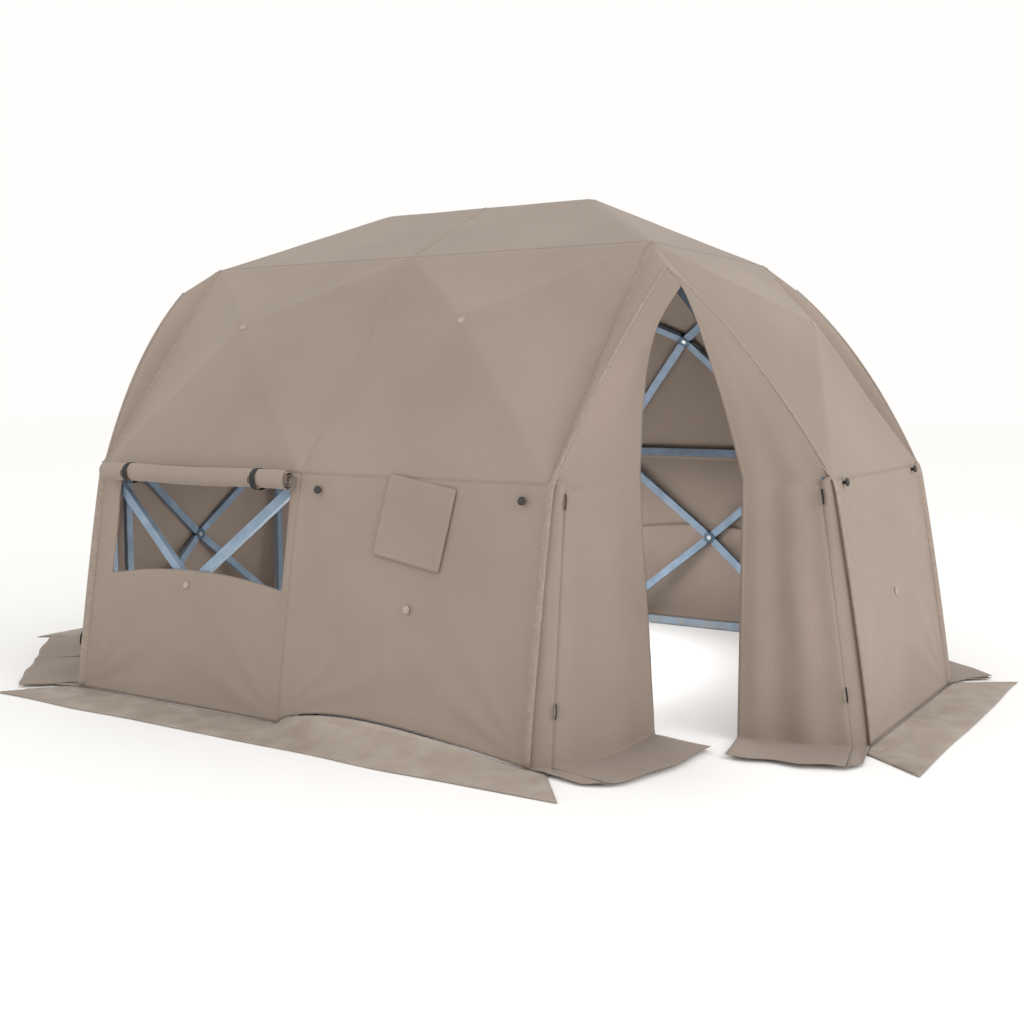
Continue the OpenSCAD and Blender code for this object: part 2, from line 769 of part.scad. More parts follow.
foot_pads();
ground_hubs();
posts();
ground_bars();
eave_hubs();
eave_bars();
rafters();
lower_struts(LONG_BAYS);  // lower_struts_long_walls
lower_struts(END_BAYS);  // lower_struts_end_walls
lower_centre_hubs();
lower_hub_pins();
upper_struts(LONG_BAYS);  // upper_struts_long_walls
upper_struts(END_BAYS);  // upper_struts_end_walls
upper_centre_hubs();
upper_hub_pins();
roof_hubs();
roof_bars();
roof_struts();
roof_centre_hubs();
roof_hub_pins();
roof_cover();
upper_wall_cover();
lower_wall_window_bays();
lower_wall_port_bays();
lower_wall_ends();
door_hoods();
door_top_curtains();
door_jamb_strips();
leaf_southeast_left();
leaf_southeast_right();
leaf_northeast_left();
leaf_northeast_right();
leaf_northwest_left();
leaf_northwest_right();
leaf_southwest_left();
leaf_southwest_right();
ground_flaps();
ground_plates();
window_roll();
window_straps();
north_window_flap();
south_port_flap();
north_port_flap();
guy_knobs();
tie_tabs();
lower_hub_buttons();
upper_hub_buttons();
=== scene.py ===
import json
import math

import bmesh
import bpy
import numpy as np
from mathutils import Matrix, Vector


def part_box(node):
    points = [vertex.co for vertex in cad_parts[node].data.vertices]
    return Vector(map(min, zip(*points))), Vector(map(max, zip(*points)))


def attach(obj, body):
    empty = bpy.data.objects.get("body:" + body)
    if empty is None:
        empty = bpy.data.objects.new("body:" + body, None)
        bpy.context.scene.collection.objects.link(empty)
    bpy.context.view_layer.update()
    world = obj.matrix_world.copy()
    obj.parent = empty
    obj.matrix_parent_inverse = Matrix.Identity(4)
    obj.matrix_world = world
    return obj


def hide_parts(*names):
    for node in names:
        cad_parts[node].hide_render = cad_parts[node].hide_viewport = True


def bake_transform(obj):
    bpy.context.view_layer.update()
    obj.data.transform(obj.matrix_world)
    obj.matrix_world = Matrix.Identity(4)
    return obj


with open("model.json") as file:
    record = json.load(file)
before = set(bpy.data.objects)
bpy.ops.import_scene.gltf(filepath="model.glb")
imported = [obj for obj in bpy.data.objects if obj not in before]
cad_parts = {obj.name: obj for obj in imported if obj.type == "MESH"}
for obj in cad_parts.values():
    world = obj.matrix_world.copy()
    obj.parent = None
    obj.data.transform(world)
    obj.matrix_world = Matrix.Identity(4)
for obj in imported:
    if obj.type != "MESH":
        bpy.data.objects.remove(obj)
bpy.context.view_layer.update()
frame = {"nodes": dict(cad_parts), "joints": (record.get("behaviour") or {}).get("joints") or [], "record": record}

# ---- Camera, daylight and floor ----
# The tent is seen from about head height, off its southeast corner, in soft daylight that is
# a little brighter from the right. The floor is plain and pale.

scene = bpy.context.scene
eye_place = Vector((4.760, -7.221, 1.843))
look_dip = math.radians(5.53)
look_flat = Vector((-0.5335, 0.8458, 0.0))
look = look_flat * math.cos(look_dip) - Vector((0, 0, math.sin(look_dip)))
camera = bpy.data.objects.new("camera", bpy.data.cameras.new("camera"))
camera.data.lens = 45.1
camera.data.sensor_width = 36.0
camera.location = eye_place
camera.rotation_euler = look.to_track_quat("-Z", "Y").to_euler()
scene.collection.objects.link(camera)
scene.camera = camera
scene.view_settings.view_transform = "Standard"

sky = bpy.data.worlds.new("soft daylight")
scene.world = sky
sky.use_nodes = True
sky.node_tree.nodes["Background"].inputs["Color"].default_value = (1.0, 0.99, 0.975, 1)
sky.node_tree.nodes["Background"].inputs["Strength"].default_value = 1.0


def soft_lamp(name, place, target, size, power):
    """A square area lamp at place, which faces target."""
    lamp = bpy.data.objects.new(name, bpy.data.lights.new(name, "AREA"))
    lamp.data.size = size
    lamp.data.energy = power
    lamp.location = place
    lamp.rotation_euler = (Vector(target) - Vector(place)).to_track_quat("-Z", "Y").to_euler()
    scene.collection.objects.link(lamp)


soft_lamp("right window light", (13.0, -3.0, 6.0), (0, 0, 1.2), 7.0, 520)
soft_lamp("front fill light", (-2.0, -12.0, 5.0), (0, 0, 1.2), 8.0, 120)
soft_lamp("daylight through the cover", (0.0, 0.0, 1.25), (0, 0, 0), 2.0, 70)


def plain_surface(name, colour, roughness):
    """A material with one colour and one roughness, for the floor."""
    surface = bpy.data.materials.new(name)
    surface.use_nodes = True
    shader = surface.node_tree.nodes["Principled BSDF"]
    shader.inputs["Base Color"].default_value = (*colour, 1)
    shader.inputs["Roughness"].default_value = roughness
    return surface


floor_mesh = bpy.data.meshes.new("floor")
floor_mesh.from_pydata([(-60, -60, 0), (60, -60, 0), (60, 60, 0), (-60, 60, 0)], [], [(0, 1, 2, 3)])
floor_mesh.materials.append(plain_surface("pale floor", (0.985, 0.985, 0.98), 0.9))
floor = bpy.data.objects.new("floor", floor_mesh)
scene.collection.objects.link(floor)

# ---- Frame tubes ----
# The posts, bars, rafters and crossed struts are rectangular aluminium tube, powder coated in
# a dusty blue. They plug onto the hubs' spigots. The coat is scuffed and a little dusty.


class Finish:
    """A material's node tree, with short calls that add the nodes a finish is made of."""

    def __init__(self, name):
        self.material = bpy.data.materials.new(name)
        self.material.use_nodes = True
        self.tree = self.material.node_tree
        self.shader = self.tree.nodes["Principled BSDF"]
        self.place = self.node("ShaderNodeTexCoord").outputs["Object"]

    def node(self, kind, **settings):
        """A node of that kind. Settings are its own properties or, where it has none, inputs."""
        made = self.tree.nodes.new(kind)
        for key, value in settings.items():
            if hasattr(made, key):
                setattr(made, key, value)
            else:
                made.inputs[key.replace("_", " ").capitalize()].default_value = value
        return made

    def join(self, output, socket):
        self.tree.links.new(output, socket)

    def noise(self, scale, detail=3.0, stretch=(1, 1, 1), source=None):
        """Smooth noise of that many lumps a metre, stretched along each axis."""
        turned = self.node("ShaderNodeMapping")
        turned.inputs["Scale"].default_value = stretch
        self.join(source or self.place, turned.inputs["Vector"])
        made = self.node("ShaderNodeTexNoise", scale=scale, detail=detail)
        self.join(turned.outputs["Vector"], made.inputs["Vector"])
        return made.outputs["Fac"]

    def ramp(self, value, low, high, lowest=0.0, highest=1.0):
        """value from low..high to lowest..highest, with its ends held."""
        made = self.node("ShaderNodeMapRange")
        for socket, number in zip(made.inputs[1:5], (low, high, lowest, highest)):
            socket.default_value = number
        self.join(value, made.inputs["Value"])
        return made.outputs["Result"]

    def maths(self, kind, a, b):
        """a and b through one arithmetic operation. b is a socket or a number."""
        made = self.node("ShaderNodeMath", operation=kind)
        self.join(a, made.inputs[0])
        if isinstance(b, (int, float)):
            made.inputs[1].default_value = b
        else:
            self.join(b, made.inputs[1])
        return made.outputs[0]

    def mix(self, share, first, second):
        """A colour that goes from first to second as share goes from 0 to 1."""
        made = self.node("ShaderNodeMix", data_type="RGBA")
        self.join(share, made.inputs["Factor"])
        for socket, colour in ((made.inputs["A"], first), (made.inputs["B"], second)):
            if isinstance(colour, tuple):
                socket.default_value = (*colour, 1)
            else:
                self.join(colour, socket)
        return made.outputs["Result"]

    def bump(self, height, strength, distance, under=None):
        made = self.node("ShaderNodeBump")
        made.inputs["Strength"].default_value = strength
        made.inputs["Distance"].default_value = distance
        self.join(height, made.inputs["Height"])
        if under is not None:
            self.join(under, made.inputs["Normal"])
        return made.outputs["Normal"]


def colour_socket(finish):
    return finish.shader.inputs["Base Color"]


def coated_metal(name, light, dark, metallic):
    """Powder-coated metal: a fine orange peel, cloudy scuffs, and dust that lies low down."""
    finish = Finish(name)
    scuffs = finish.ramp(finish.noise(9, 6), 0.42, 0.72)
    streaks = finish.ramp(finish.noise(26, 4, (1, 1, 0.15)), 0.55, 0.75, 0, 0.55)
    coat = finish.mix(finish.maths("MAXIMUM", scuffs, streaks), dark, light)
    height = finish.node("ShaderNodeSeparateXYZ")
    finish.join(finish.place, height.inputs[0])
    dust = finish.ramp(height.outputs["Z"], 0.30, 0.02, 0, 0.55)
    dusty = finish.maths("MULTIPLY", dust, finish.ramp(finish.noise(14, 5), 0.35, 0.6))
    finish.join(finish.mix(dusty, coat, (0.33, 0.29, 0.24)), colour_socket(finish))
    finish.join(finish.ramp(scuffs, 0, 1, 0.36, 0.52), finish.shader.inputs["Roughness"])
    finish.join(finish.bump(finish.noise(900, 2), 0.25, 0.0006), finish.shader.inputs["Normal"])
    finish.shader.inputs["Metallic"].default_value = metallic
    return finish.material


def finish_nodes(nodes, material):
    """Gives each of these CAD nodes that one material."""
    for name in nodes:
        mesh = frame["nodes"][name].data
        mesh.materials.clear()
        mesh.materials.append(material)


tube_blue = coated_metal("blue tube coat", (0.270, 0.355, 0.455), (0.195, 0.270, 0.360), 0.20)
finish_nodes([name for name in frame["nodes"] if name.endswith("_bars") or "_struts" in name]
             + ["posts", "rafters"], tube_blue)

# ---- Hubs, pins, pads and ground plates ----
# Each hub is a casting with a spigot for every tube, and the centre hubs turn on a plated pin.
# The posts stand on rubber pads, and moulded plates at the wall's foot take the ground pegs.

hub_blue = coated_metal("hub casting coat", (0.125, 0.190, 0.260), (0.070, 0.115, 0.165), 0.35)
finish_nodes([name for name in frame["nodes"] if name.endswith("_hubs")], hub_blue)


def plated_steel():
    """Zinc plate: a bright grey with a fine crystal mottle."""
    finish = Finish("zinc plate")
    mottle = finish.ramp(finish.noise(260, 3), 0.35, 0.65)
    finish.join(finish.mix(mottle, (0.46, 0.47, 0.48), (0.66, 0.67, 0.69)), colour_socket(finish))
    finish.join(finish.ramp(mottle, 0, 1, 0.30, 0.46), finish.shader.inputs["Roughness"])
    finish.shader.inputs["Metallic"].default_value = 1.0
    return finish.material


def moulded(name, light, dark, grain, roughness):
    """Moulded rubber or plastic: a fine grain, with paler handling marks."""
    finish = Finish(name)
    marks = finish.ramp(finish.noise(30, 5), 0.4, 0.7)
    finish.join(finish.mix(marks, dark, light), colour_socket(finish))
    finish.join(finish.ramp(marks, 0, 1, roughness, roughness + 0.12), finish.shader.inputs["Roughness"])
    finish.join(finish.bump(finish.noise(grain, 2), 0.4, 0.0005), finish.shader.inputs["Normal"])
    return finish.material


finish_nodes([name for name in frame["nodes"] if name.endswith("_pins")], plated_steel())
finish_nodes(["foot_pads"], moulded("pad rubber", (0.060, 0.058, 0.055), (0.030, 0.029, 0.028), 700, 0.6))
finish_nodes(["ground_plates"],
             moulded("sand plate", (0.50, 0.42, 0.35), (0.40, 0.33, 0.27), 500, 0.5))

# ---- Roof ----
# The cover is one sewn skin of coated woven polyester. Its roof is pulled straight from one
# centre hub to the other, so that it forms a hipped roof with a short ridge and soft hips.

peg_places = {mount["name"]: mount["pos_m"] for mount in frame["record"]["mounts"]}
bay = peg_places["peg_hole_south_3"][0]
half_bay = bay / 2
foot_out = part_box("lower_wall_ends")[1].x - bay
upper_low, upper_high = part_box("upper_wall_cover")
roof_fold = 0.019
roof_fold_h = upper_high.z
ridge_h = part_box("roof_cover")[1].z
eave_fold = upper_high.x - bay
eave_h = upper_low.z
hem_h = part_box("lower_wall_ends")[0].z


def soft_least(heights, soft):
    """The least of several arrays, with the corner between any two rounded over soft."""
    return -soft * np.log(sum(np.exp(-h / soft) for h in heights))


def ripple(x, y, longest, seed):
    """Soft uneven ground, from -1 to 1: seven plane waves of set directions, added up."""
    dice = np.random.default_rng(seed)
    total = 0
    for k in range(7):
        angle, phase = dice.uniform(0, math.pi), dice.uniform(0, 2 * math.pi)
        wave = longest * 0.82**k
        ahead = x * np.cos(angle) + y * np.sin(angle)
        total = total + 0.82**k * np.sin(2 * math.pi * ahead / wave + phase)
    return total / 3


def cloth_colours(name, light, dark, dust=0.0):
    """Coated woven cloth: fine threads both ways, a speckle, slow fading, and stitched edges.

    The UV map is the cloth's own plane in metres. The attribute edge is the distance in metres
    to the nearest seam or hem, where two rows of stitching run in a slightly raised lap, and
    where the colour is darkened as painted shade.
    """
    finish = Finish(name)
    plane = finish.node("ShaderNodeUVMap", uv_map="cloth").outputs["UV"]
    fade = finish.ramp(finish.noise(1.1, 4), 0.35, 0.68)
    speckle = finish.ramp(finish.noise(160, 3), 0.40, 0.66)
    colour = finish.mix(fade, dark, light)
    worn = tuple(0.86 * c for c in dark)
    colour = finish.mix(finish.maths("MULTIPLY", speckle, 0.30), colour, worn)
    edge = finish.node("ShaderNodeAttribute", attribute_name="edge").outputs["Fac"]
    rows = []
    for stitched_at in (0.006, 0.016):
        off_row = finish.maths("ABSOLUTE", finish.maths("SUBTRACT", edge, stitched_at), 0)
        rows.append(finish.ramp(off_row, 0.0010, 0.0022, 1, 0))
    threads = finish.maths("MAXIMUM", *rows)
    split = finish.node("ShaderNodeSeparateXYZ")
    finish.join(plane, split.inputs[0])
    run = finish.maths("ADD", split.outputs["X"], split.outputs["Y"])
    dashes = finish.ramp(finish.maths("SINE", finish.maths("MULTIPLY", run, 1400), 0), -0.5, -0.2)
    stitches = finish.maths("MULTIPLY", threads, dashes)
    thread_colour = tuple(min(1.0, 1.25 * c) for c in light)
    colour = finish.mix(finish.maths("MULTIPLY", stitches, 0.7), colour, thread_colour)
    # Painted shade: within 14 mm of each seam and hem the colour darkens towards 0.7 of the dark tone, where the
    # lap and hem shade the cloth.
    seam_painted_shade = finish.ramp(edge, 0.0, 0.014, 0.22, 0)
    colour = finish.mix(seam_painted_shade, colour, tuple(0.7 * c for c in dark))
    if dust:
        tread = finish.ramp(finish.noise(6, 6), 0.42, 0.68, 0, dust)
        colour = finish.mix(tread, colour, (0.46, 0.41, 0.35))
    finish.join(colour, colour_socket(finish))
    finish.join(finish.ramp(speckle, 0, 1, 0.80, 0.92), finish.shader.inputs["Roughness"])
    weave = []
    for axis in ("X", "Y"):
        bands = finish.node("ShaderNodeTexWave", bands_direction=axis, scale=110, distortion=0.6)
        finish.join(plane, bands.inputs["Vector"])
        weave.append(bands.outputs["Fac"])
    woven = finish.bump(finish.maths("MULTIPLY", *weave), 0.22, 0.0008)
    slack = finish.bump(finish.noise(22, 4), 0.35, 0.004, woven)
    lap = finish.bump(finish.ramp(edge, 0.018, 0.022, 1, 0), 0.5, 0.0015, slack)
    finish.join(finish.bump(stitches, 0.6, 0.001, lap), finish.shader.inputs["Normal"])
    finish.shader.inputs["Sheen Weight"].default_value = 0.12
    finish.shader.inputs["Sheen Roughness"].default_value = 0.6
    finish.shader.inputs["Specular IOR Level"].default_value = 0.30
    return finish.material


tan_light = (0.325, 0.258, 0.212)
tan_dark = (0.285, 0.225, 0.184)
cover_cloth = cloth_colours("cover cloth", tan_light, tan_dark)


def sheet_of(name, grids, cloth, thick=0.0018):
    """One mesh from several grids of points, each with its cloth plane and its edge distance.

    A grid is (points, plane, edge): rows by columns by 3, by 2 and by 1. Points that meet are
    merged, and a Solidify modifier gives the cloth its thickness on the inner side.
    """
    places, planes, edges, faces, first = [], [], [], [], 0
    for points, plane, edge in grids:
        rows, columns = points.shape[:2]
        index = first + np.arange(rows * columns).reshape(rows, columns)
        corners = np.stack([index[:-1, :-1], index[:-1, 1:], index[1:, 1:], index[1:, :-1]], -1)
        whole = ~np.isnan(points[..., 0])
        kept = whole[:-1, :-1] & whole[:-1, 1:] & whole[1:, 1:] & whole[1:, :-1]
        faces.append(corners[kept])
        places.append(np.nan_to_num(points).reshape(-1, 3))
        planes.append(np.nan_to_num(plane).reshape(-1, 2))
        edges.append(np.broadcast_to(edge, (rows, columns)).reshape(-1))
        first += rows * columns
    faces = np.concatenate(faces)
    mesh = bpy.data.meshes.new(name)
    mesh.from_pydata(np.concatenate(places).tolist(), [], faces.tolist())
    flat = np.concatenate(planes)[faces.reshape(-1)]
    mesh.uv_layers.new(name="cloth").data.foreach_set("uv", flat.astype(np.float32).ravel())
    mesh.attributes.new("edge", "FLOAT", "POINT").data.foreach_set(
        "value", np.concatenate(edges).astype(np.float32))
    work = bmesh.new()
    work.from_mesh(mesh)
    bmesh.ops.remove_doubles(work, verts=work.verts, dist=0.0004)
    bmesh.ops.delete(work, geom=[v for v in work.verts if not v.link_faces], context="VERTS")
    work.to_mesh(mesh)
    work.free()
    mesh.polygons.foreach_set("use_smooth", [True] * len(mesh.polygons))
    mesh.materials.append(cloth)
    piece = bpy.data.objects.new(name, mesh)
    scene.collection.objects.link(piece)
    solid = piece.modifiers.new("cloth thickness", "SOLIDIFY")
    solid.thickness = thick
    solid.offset = -1
    return piece


def laid_out(*axes):
    """Coordinates along the columns and down the rows, as two full arrays."""
    return np.meshgrid(*axes)


def roof_surface(x, y):
    """Height of the hipped roof: the least of the four slopes, rounded, less a slight sag."""
    side = (half_bay + roof_fold - abs(y)) / (half_bay + roof_fold)
    hip = (bay + roof_fold - abs(x)) / (half_bay + roof_fold)
    rise = soft_least([side, hip, 1 + 0 * x], 0.016)
    between = np.clip(abs(side - hip), 0, 1)
    sag = 0.005 * np.sin(math.pi * np.clip(rise, 0, 1)) * (1 - np.exp(-between / 0.15))
    slack = 0.002 * ripple(x, y, 0.9, 3) * np.clip(6 * rise, 0, 1)
    return roof_fold_h + (ridge_h - roof_fold_h) * rise - sag + slack


def seam_gap_to(*distances):
    """The distance to the nearest of several seams."""
    return np.min([abs(d) * np.ones_like(distances[0]) for d in distances], 0)


roof_x, roof_y = laid_out(np.linspace(-bay - roof_fold, bay + roof_fold, 131),
                          np.linspace(-half_bay - roof_fold, half_bay + roof_fold, 67))
roof_points = np.stack([roof_x, roof_y, roof_surface(roof_x, roof_y)], -1)
roof_edge = seam_gap_to(roof_x)
roof_cloth = sheet_of("roof_cloth", [(roof_points, roof_points[..., :2], roof_edge)], cover_cloth)
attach(roof_cloth, "root")
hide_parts("roof_cover")

# ---- Upper walls ----
# Between the eaves and the roof each bay is a shallow pyramid, because its centre hub holds
# the cloth out from the slope. The four creases run from the hub to the bay's corners.

wall_bays = [(0, half_bay, -half_bay), (0, half_bay, half_bay), (180, half_bay, -half_bay),
             (180, half_bay, half_bay), (90, bay, 0), (-90, bay, 0)]
east_peak = (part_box("upper_hub_buttons")[1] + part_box("upper_hub_buttons")[0]) / 2
slope = np.array([roof_fold - eave_fold, roof_fold_h - eave_h])
slope_l = np.linalg.norm(slope)
slope = slope / slope_l
slope_out = np.array([slope[1], -slope[0]])
peak_from_eave = np.array([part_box("upper_hub_buttons")[1].x - bay - eave_fold, east_peak.z - eave_h])
peak_up = peak_from_eave @ slope / slope_l
peak_proud = peak_from_eave @ slope_out - 0.004


def on_side(wall, along, out, height):
    """Points of one wall: along it, out from its roof bar, and up, turned to where it stands."""
    turn, roof_bar, middle = wall
    c, s = math.cos(math.radians(turn)), math.sin(math.radians(turn))
    x, y = along + middle, -roof_bar - out
    return np.stack([x * c - y * s, x * s + y * c, height + 0 * x], -1)


def upper_bay(wall, seed):
    """A pyramid on a sloping rectangle: the least of its four faces' heights, rounded.

    Each face hollows a little between its creases, and the hub's patch dents the peak.
    """
    along, up = laid_out(np.linspace(-half_bay, half_bay, 65), np.linspace(0, 1, 65))
    faces = [up / peak_up, (1 - up) / (1 - peak_up), 1 - abs(along) / half_bay]
    rise = np.clip(soft_least(faces, 0.013), 0, 1)
    between = np.sort(np.array(faces), 0)
    hollow = 0.016 * np.sin(math.pi * rise) * (1 - np.exp(-(between[1] - between[0]) / 0.12))
    from_peak = np.hypot(along, (up - peak_up) * slope_l)
    dent = 0.010 * np.exp(-((from_peak / 0.035) ** 2))
    slack = 0.004 * ripple(along, up * slope_l, 0.8, seed) * np.clip(5 * rise, 0, 1)
    proud = peak_proud * rise - hollow - dent + slack
    out = eave_fold + up * slope_l * slope[0] + proud * slope_out[0]
    height = eave_h + up * slope_l * slope[1] + proud * slope_out[1]
    edge = 0.5 + 0 * along
    outer_end = half_bay + abs(wall[2])
    near_end = np.clip((abs(along + wall[2]) - outer_end + 0.3) / 0.3, 0, 1)
    stretched = along + roof_fold * up * near_end * np.sign(along + wall[2])
    return on_side(wall, stretched, out, height), np.stack([along, up * slope_l], -1), edge


for group, walls in (("long", wall_bays[:4]), ("end", wall_bays[4:])):
    grids = [upper_bay(wall, 20 + k + len(walls)) for k, wall in enumerate(walls)]
    upper_cloth = sheet_of(f"upper_wall_cloth_{group}", grids, cover_cloth)
    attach(upper_cloth, "root")
    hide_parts("upper_wall_cover")

# ---- Door hoods ----
# Across each corner, two cloth gussets meet at a peak that stands out from the roof corner.
# They run from the rafters to the door's rim, a bowed edge with a stitched, corded hem.

door_corners = [("southeast", 0, 1, -1), ("northeast", 90, 1, 1),
                ("northwest", 180, -1, 1), ("southwest", 270, -1, -1)]
hood_reach = 0.191
hood_peak = np.array([hood_reach, -hood_reach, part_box("door_hoods")[1].z - 0.155])
rim_bow = 0.085


def at_corner(corner, points):
    """Points of a door in its own frame, turned and moved to the corner where it stands."""
    name, turn, x_side, y_side = corner
    c, s = math.cos(math.radians(turn)), math.sin(math.radians(turn))
    x, y, z = np.moveaxis(points, -1, 0)
    return np.stack([x * c - y * s + x_side * bay, x * s + y * c + y_side * half_bay, z], -1)


def mirrored(points):
    """The same points on the door's other side: its left and right jambs change places."""
    return np.stack([-points[..., 1], -points[..., 0], points[..., 2]], -1)


def left_rim(share):
    """The rim from the peak down to the left eave: a straight line, bowed outwards and up."""
    share = share[..., None]
    eave = np.array([0, -eave_fold, eave_h])
    bowed = np.array([0.30, -0.30, 0.90]) * rim_bow * 4 * share * (1 - share)
    return (1 - share) * hood_peak + share * eave + bowed


def left_gusset(seed):
    """A sheet between the rafter's fold and the rim, a little fuller than flat."""
    across, down = laid_out(np.linspace(0, 1, 25), np.linspace(0, 1, 61))
    share = down[..., None]
    fold = (1 - share) * np.array([roof_fold, -roof_fold, roof_fold_h]) + share * np.array(
        [0, -eave_fold, eave_h])
    points = fold + across[..., None] * (left_rim(down) - fold)
    swell = 0.022 * np.sin(math.pi * across) * np.sin(math.pi * down) ** 0.7
    swell = swell + 0.004 * ripple(across, 2 * down, 0.8, seed) * np.sin(math.pi * down)
    points = points + swell[..., None] * np.array([0.35, -0.60, 0.72])
    width = np.linalg.norm(left_rim(down) - fold, axis=-1)
    plane = np.stack([across * width, down * slope_l], -1)
    return points, plane, seam_gap_to((1 - across) * width)


def turned_over(grid):
    """The mirror image of a grid, with its columns reversed so that its faces point out."""
    points, plane, edge = grid
    return mirrored(points)[:, ::-1], plane[:, ::-1], edge[:, ::-1]


hood_grids = []
for k, corner in enumerate(door_corners):
    for gusset in (left_gusset(40 + k), turned_over(left_gusset(50 + k))):
        hood_grids.append((at_corner(corner, gusset[0]), *gusset[1:]))
hood_cloth = sheet_of("door_hood_cloth", hood_grids, cover_cloth)
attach(hood_cloth, "root")
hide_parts("door_hoods")

# ---- Lower walls ----
# Each bay's lower wall leans out from the eave to its foot. The cloth is pulled at its corners
# and rests on the centre hub. Two bays have a window opening and two a port, all hemmed.

lean = np.array([foot_out - eave_fold, hem_h - eave_h])
wall_l = np.linalg.norm(lean)
lean = lean / wall_l
lean_out = np.array([-lean[1], lean[0]])
hub_down = 0.680
window_top, window_foot = 0.075, 0.655
window_half, window_side = 0.685, 0.048
port_lift = 0.098


def hem_lift(along, wall):
    """How far a port bay's hem arches off the ground, highest near one end."""
    if wall[2] * (1 if wall[0] in (0, 180) else 0) <= 0:
        return 0 * along
    share = np.clip((along + half_bay) / bay, 0, 1)
    return port_lift * np.sin(math.pi * share**0.62)


def post_column(along, place, width):
    """A rounded vertical fold in the cloth at that place along the wall."""
    return np.exp(-(((along - place) / width) ** 2))


def pull_fan(along, down, corner, folds, phase):
    """Creases that fan out from a corner where the cloth is held, and die away from it."""
    x, y = along - corner[0], down - corner[1]
    far = np.hypot(x, y)
    fade = np.exp(-far / 0.42) * (1 - np.exp(-far / 0.06))
    return fade * np.cos(folds * np.arctan2(y, x) + phase)


def even_steps(stops, step=0.022):
    """Places from the first stop to the last, about one step apart, with every stop among them."""
    return np.unique(np.concatenate([np.linspace(a, b, max(2, round((b - a) / step) + 1))
                                     for a, b in zip(stops, stops[1:])]))


def lower_bay(wall, seed, hole=None, bow_rise=0.0):
    """A leaning rectangle with post columns, corner creases, a pressed hub and slack.

    With a hole, rows and columns keep to its edges, and its lower edge bows up by bow_rise.
    """
    stops = [-half_bay, half_bay] if hole is None else [-half_bay, hole[0], hole[1], half_bay]
    levels = [0, wall_l] if hole is None else [0, hole[2], hole[3], wall_l]
    along, down = laid_out(even_steps(stops), even_steps(levels)[::-1])
    low = down / wall_l
    free = np.sin(math.pi * np.clip(low, 0, 1)) ** 0.5 * np.sin(
        math.pi * np.clip((along + half_bay) / bay, 0, 1)) ** 0.6
    columns_proud = 0.018 * np.sin(math.pi * np.clip(low, 0, 1)) ** 0.4 * (
        post_column(along, -half_bay, 0.030) + post_column(along, half_bay, 0.030))
    fans = sum(pull_fan(along, down, (side * half_bay, wall_l), 15, seed + side) for side in (-1, 1))
    fans = fans + 0.5 * sum(pull_fan(along, down, (side * half_bay, 0), 11, seed) for side in (-1, 1))
    pressed = 0.016 * np.exp(-np.hypot(along, down - hub_down) / 0.10)
    proud = columns_proud + free * (0.022 * fans + 0.007 * ripple(along, down, 0.7, seed) + pressed)
    proud = proud - 0.014 * np.sin(math.pi * low) * np.sin(math.pi * (along + half_bay) / bay)
    lift = hem_lift(along, wall) * low**6
    edge = seam_gap_to(wall_l - down)
    if hole is not None:
        x0, x1, d0, d1 = hole
        in_x, in_d = (along - x0) * (x1 - along), (down - d0) * (d1 - down)
        gap_x = np.maximum(x0 - along, along - x1)
        gap_d = np.maximum(d0 - down, down - d1)
        edge = np.minimum(edge, abs(np.where(gap_d < 0, gap_x, np.where(gap_x < 0, gap_d, np.hypot(
            gap_x, gap_d)))))
        bow = bow_rise * np.clip(1 - ((along - (x0 + x1) / 2) / ((x1 - x0) / 2)) ** 2, 0, 1)
        reach = np.where(down > d1, np.clip((wall_l - down) / (wall_l - d1), 0, 1), 1)
        lift = lift + bow * reach * (down >= d1 - 1e-6)
    out = eave_fold + (down - lift) * lean[0] + proud * lean_out[0]
    height = eave_h + (down - lift) * lean[1] + proud * lean_out[1]
    points = on_side(wall, along, out, height)
    if hole is not None:
        points[(in_x > 1e-7) & (in_d > 1e-7)] = np.nan
    return points, np.stack([along, down], -1), edge


window_hole = (window_side - window_half, window_side + window_half, window_top, window_foot)
window_bow = 0.062
port_hole = (-0.15, 0.15, 0.076, 0.376)
for name, walls, hole, bow_rise, node in (
        ("window", (wall_bays[0], wall_bays[2]), window_hole, window_bow, "lower_wall_window_bays"),
        ("port", (wall_bays[1], wall_bays[3]), port_hole, 0.0, "lower_wall_port_bays"),
        ("end", (wall_bays[4], wall_bays[5]), None, 0.0, "lower_wall_ends")):
    grids = [lower_bay(wall, 60 + 3 * k + len(name), hole, bow_rise) for k, wall in enumerate(walls)]
    wall_cloth = sheet_of(f"lower_wall_cloth_{name}", grids, cover_cloth)
    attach(wall_cloth, "root")
    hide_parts(node)

# ---- Door leaves ----
# A door is two curtains of the same cloth, sewn to the hood's rim and zipped together down
# the middle. Each hangs inside its post and ends in a skirt on the ground. The southeast
# door stands open: its leaves turn in and their free edges draw back from the peak.

# Painted shade: the leaves and jamb strips use the cover's own cloth made 4 to 5 percent darker, for the shade
# under the hoods.
door_cloth_painted_shade = cloth_colours("door cloth with painted shade", tuple(0.96 * c for c in tan_light),
                           tuple(0.95 * c for c in tan_dark))
hinges = {joint["child"]: np.array(joint["pos_m"]) for joint in frame["joints"]}
leaf_foot_h = 0.0300
skirt_w = 0.345


def corner_frame(corner, point):
    """A point of the whole tent, in a door's own frame: the inverse of at_corner."""
    name, turn, x_side, y_side = corner
    c, s = math.cos(math.radians(turn)), math.sin(math.radians(turn))
    x, y = point[0] - x_side * bay, point[1] - y_side * half_bay
    return np.array([x * c + y * s, -x * s + y * c, point[2]])


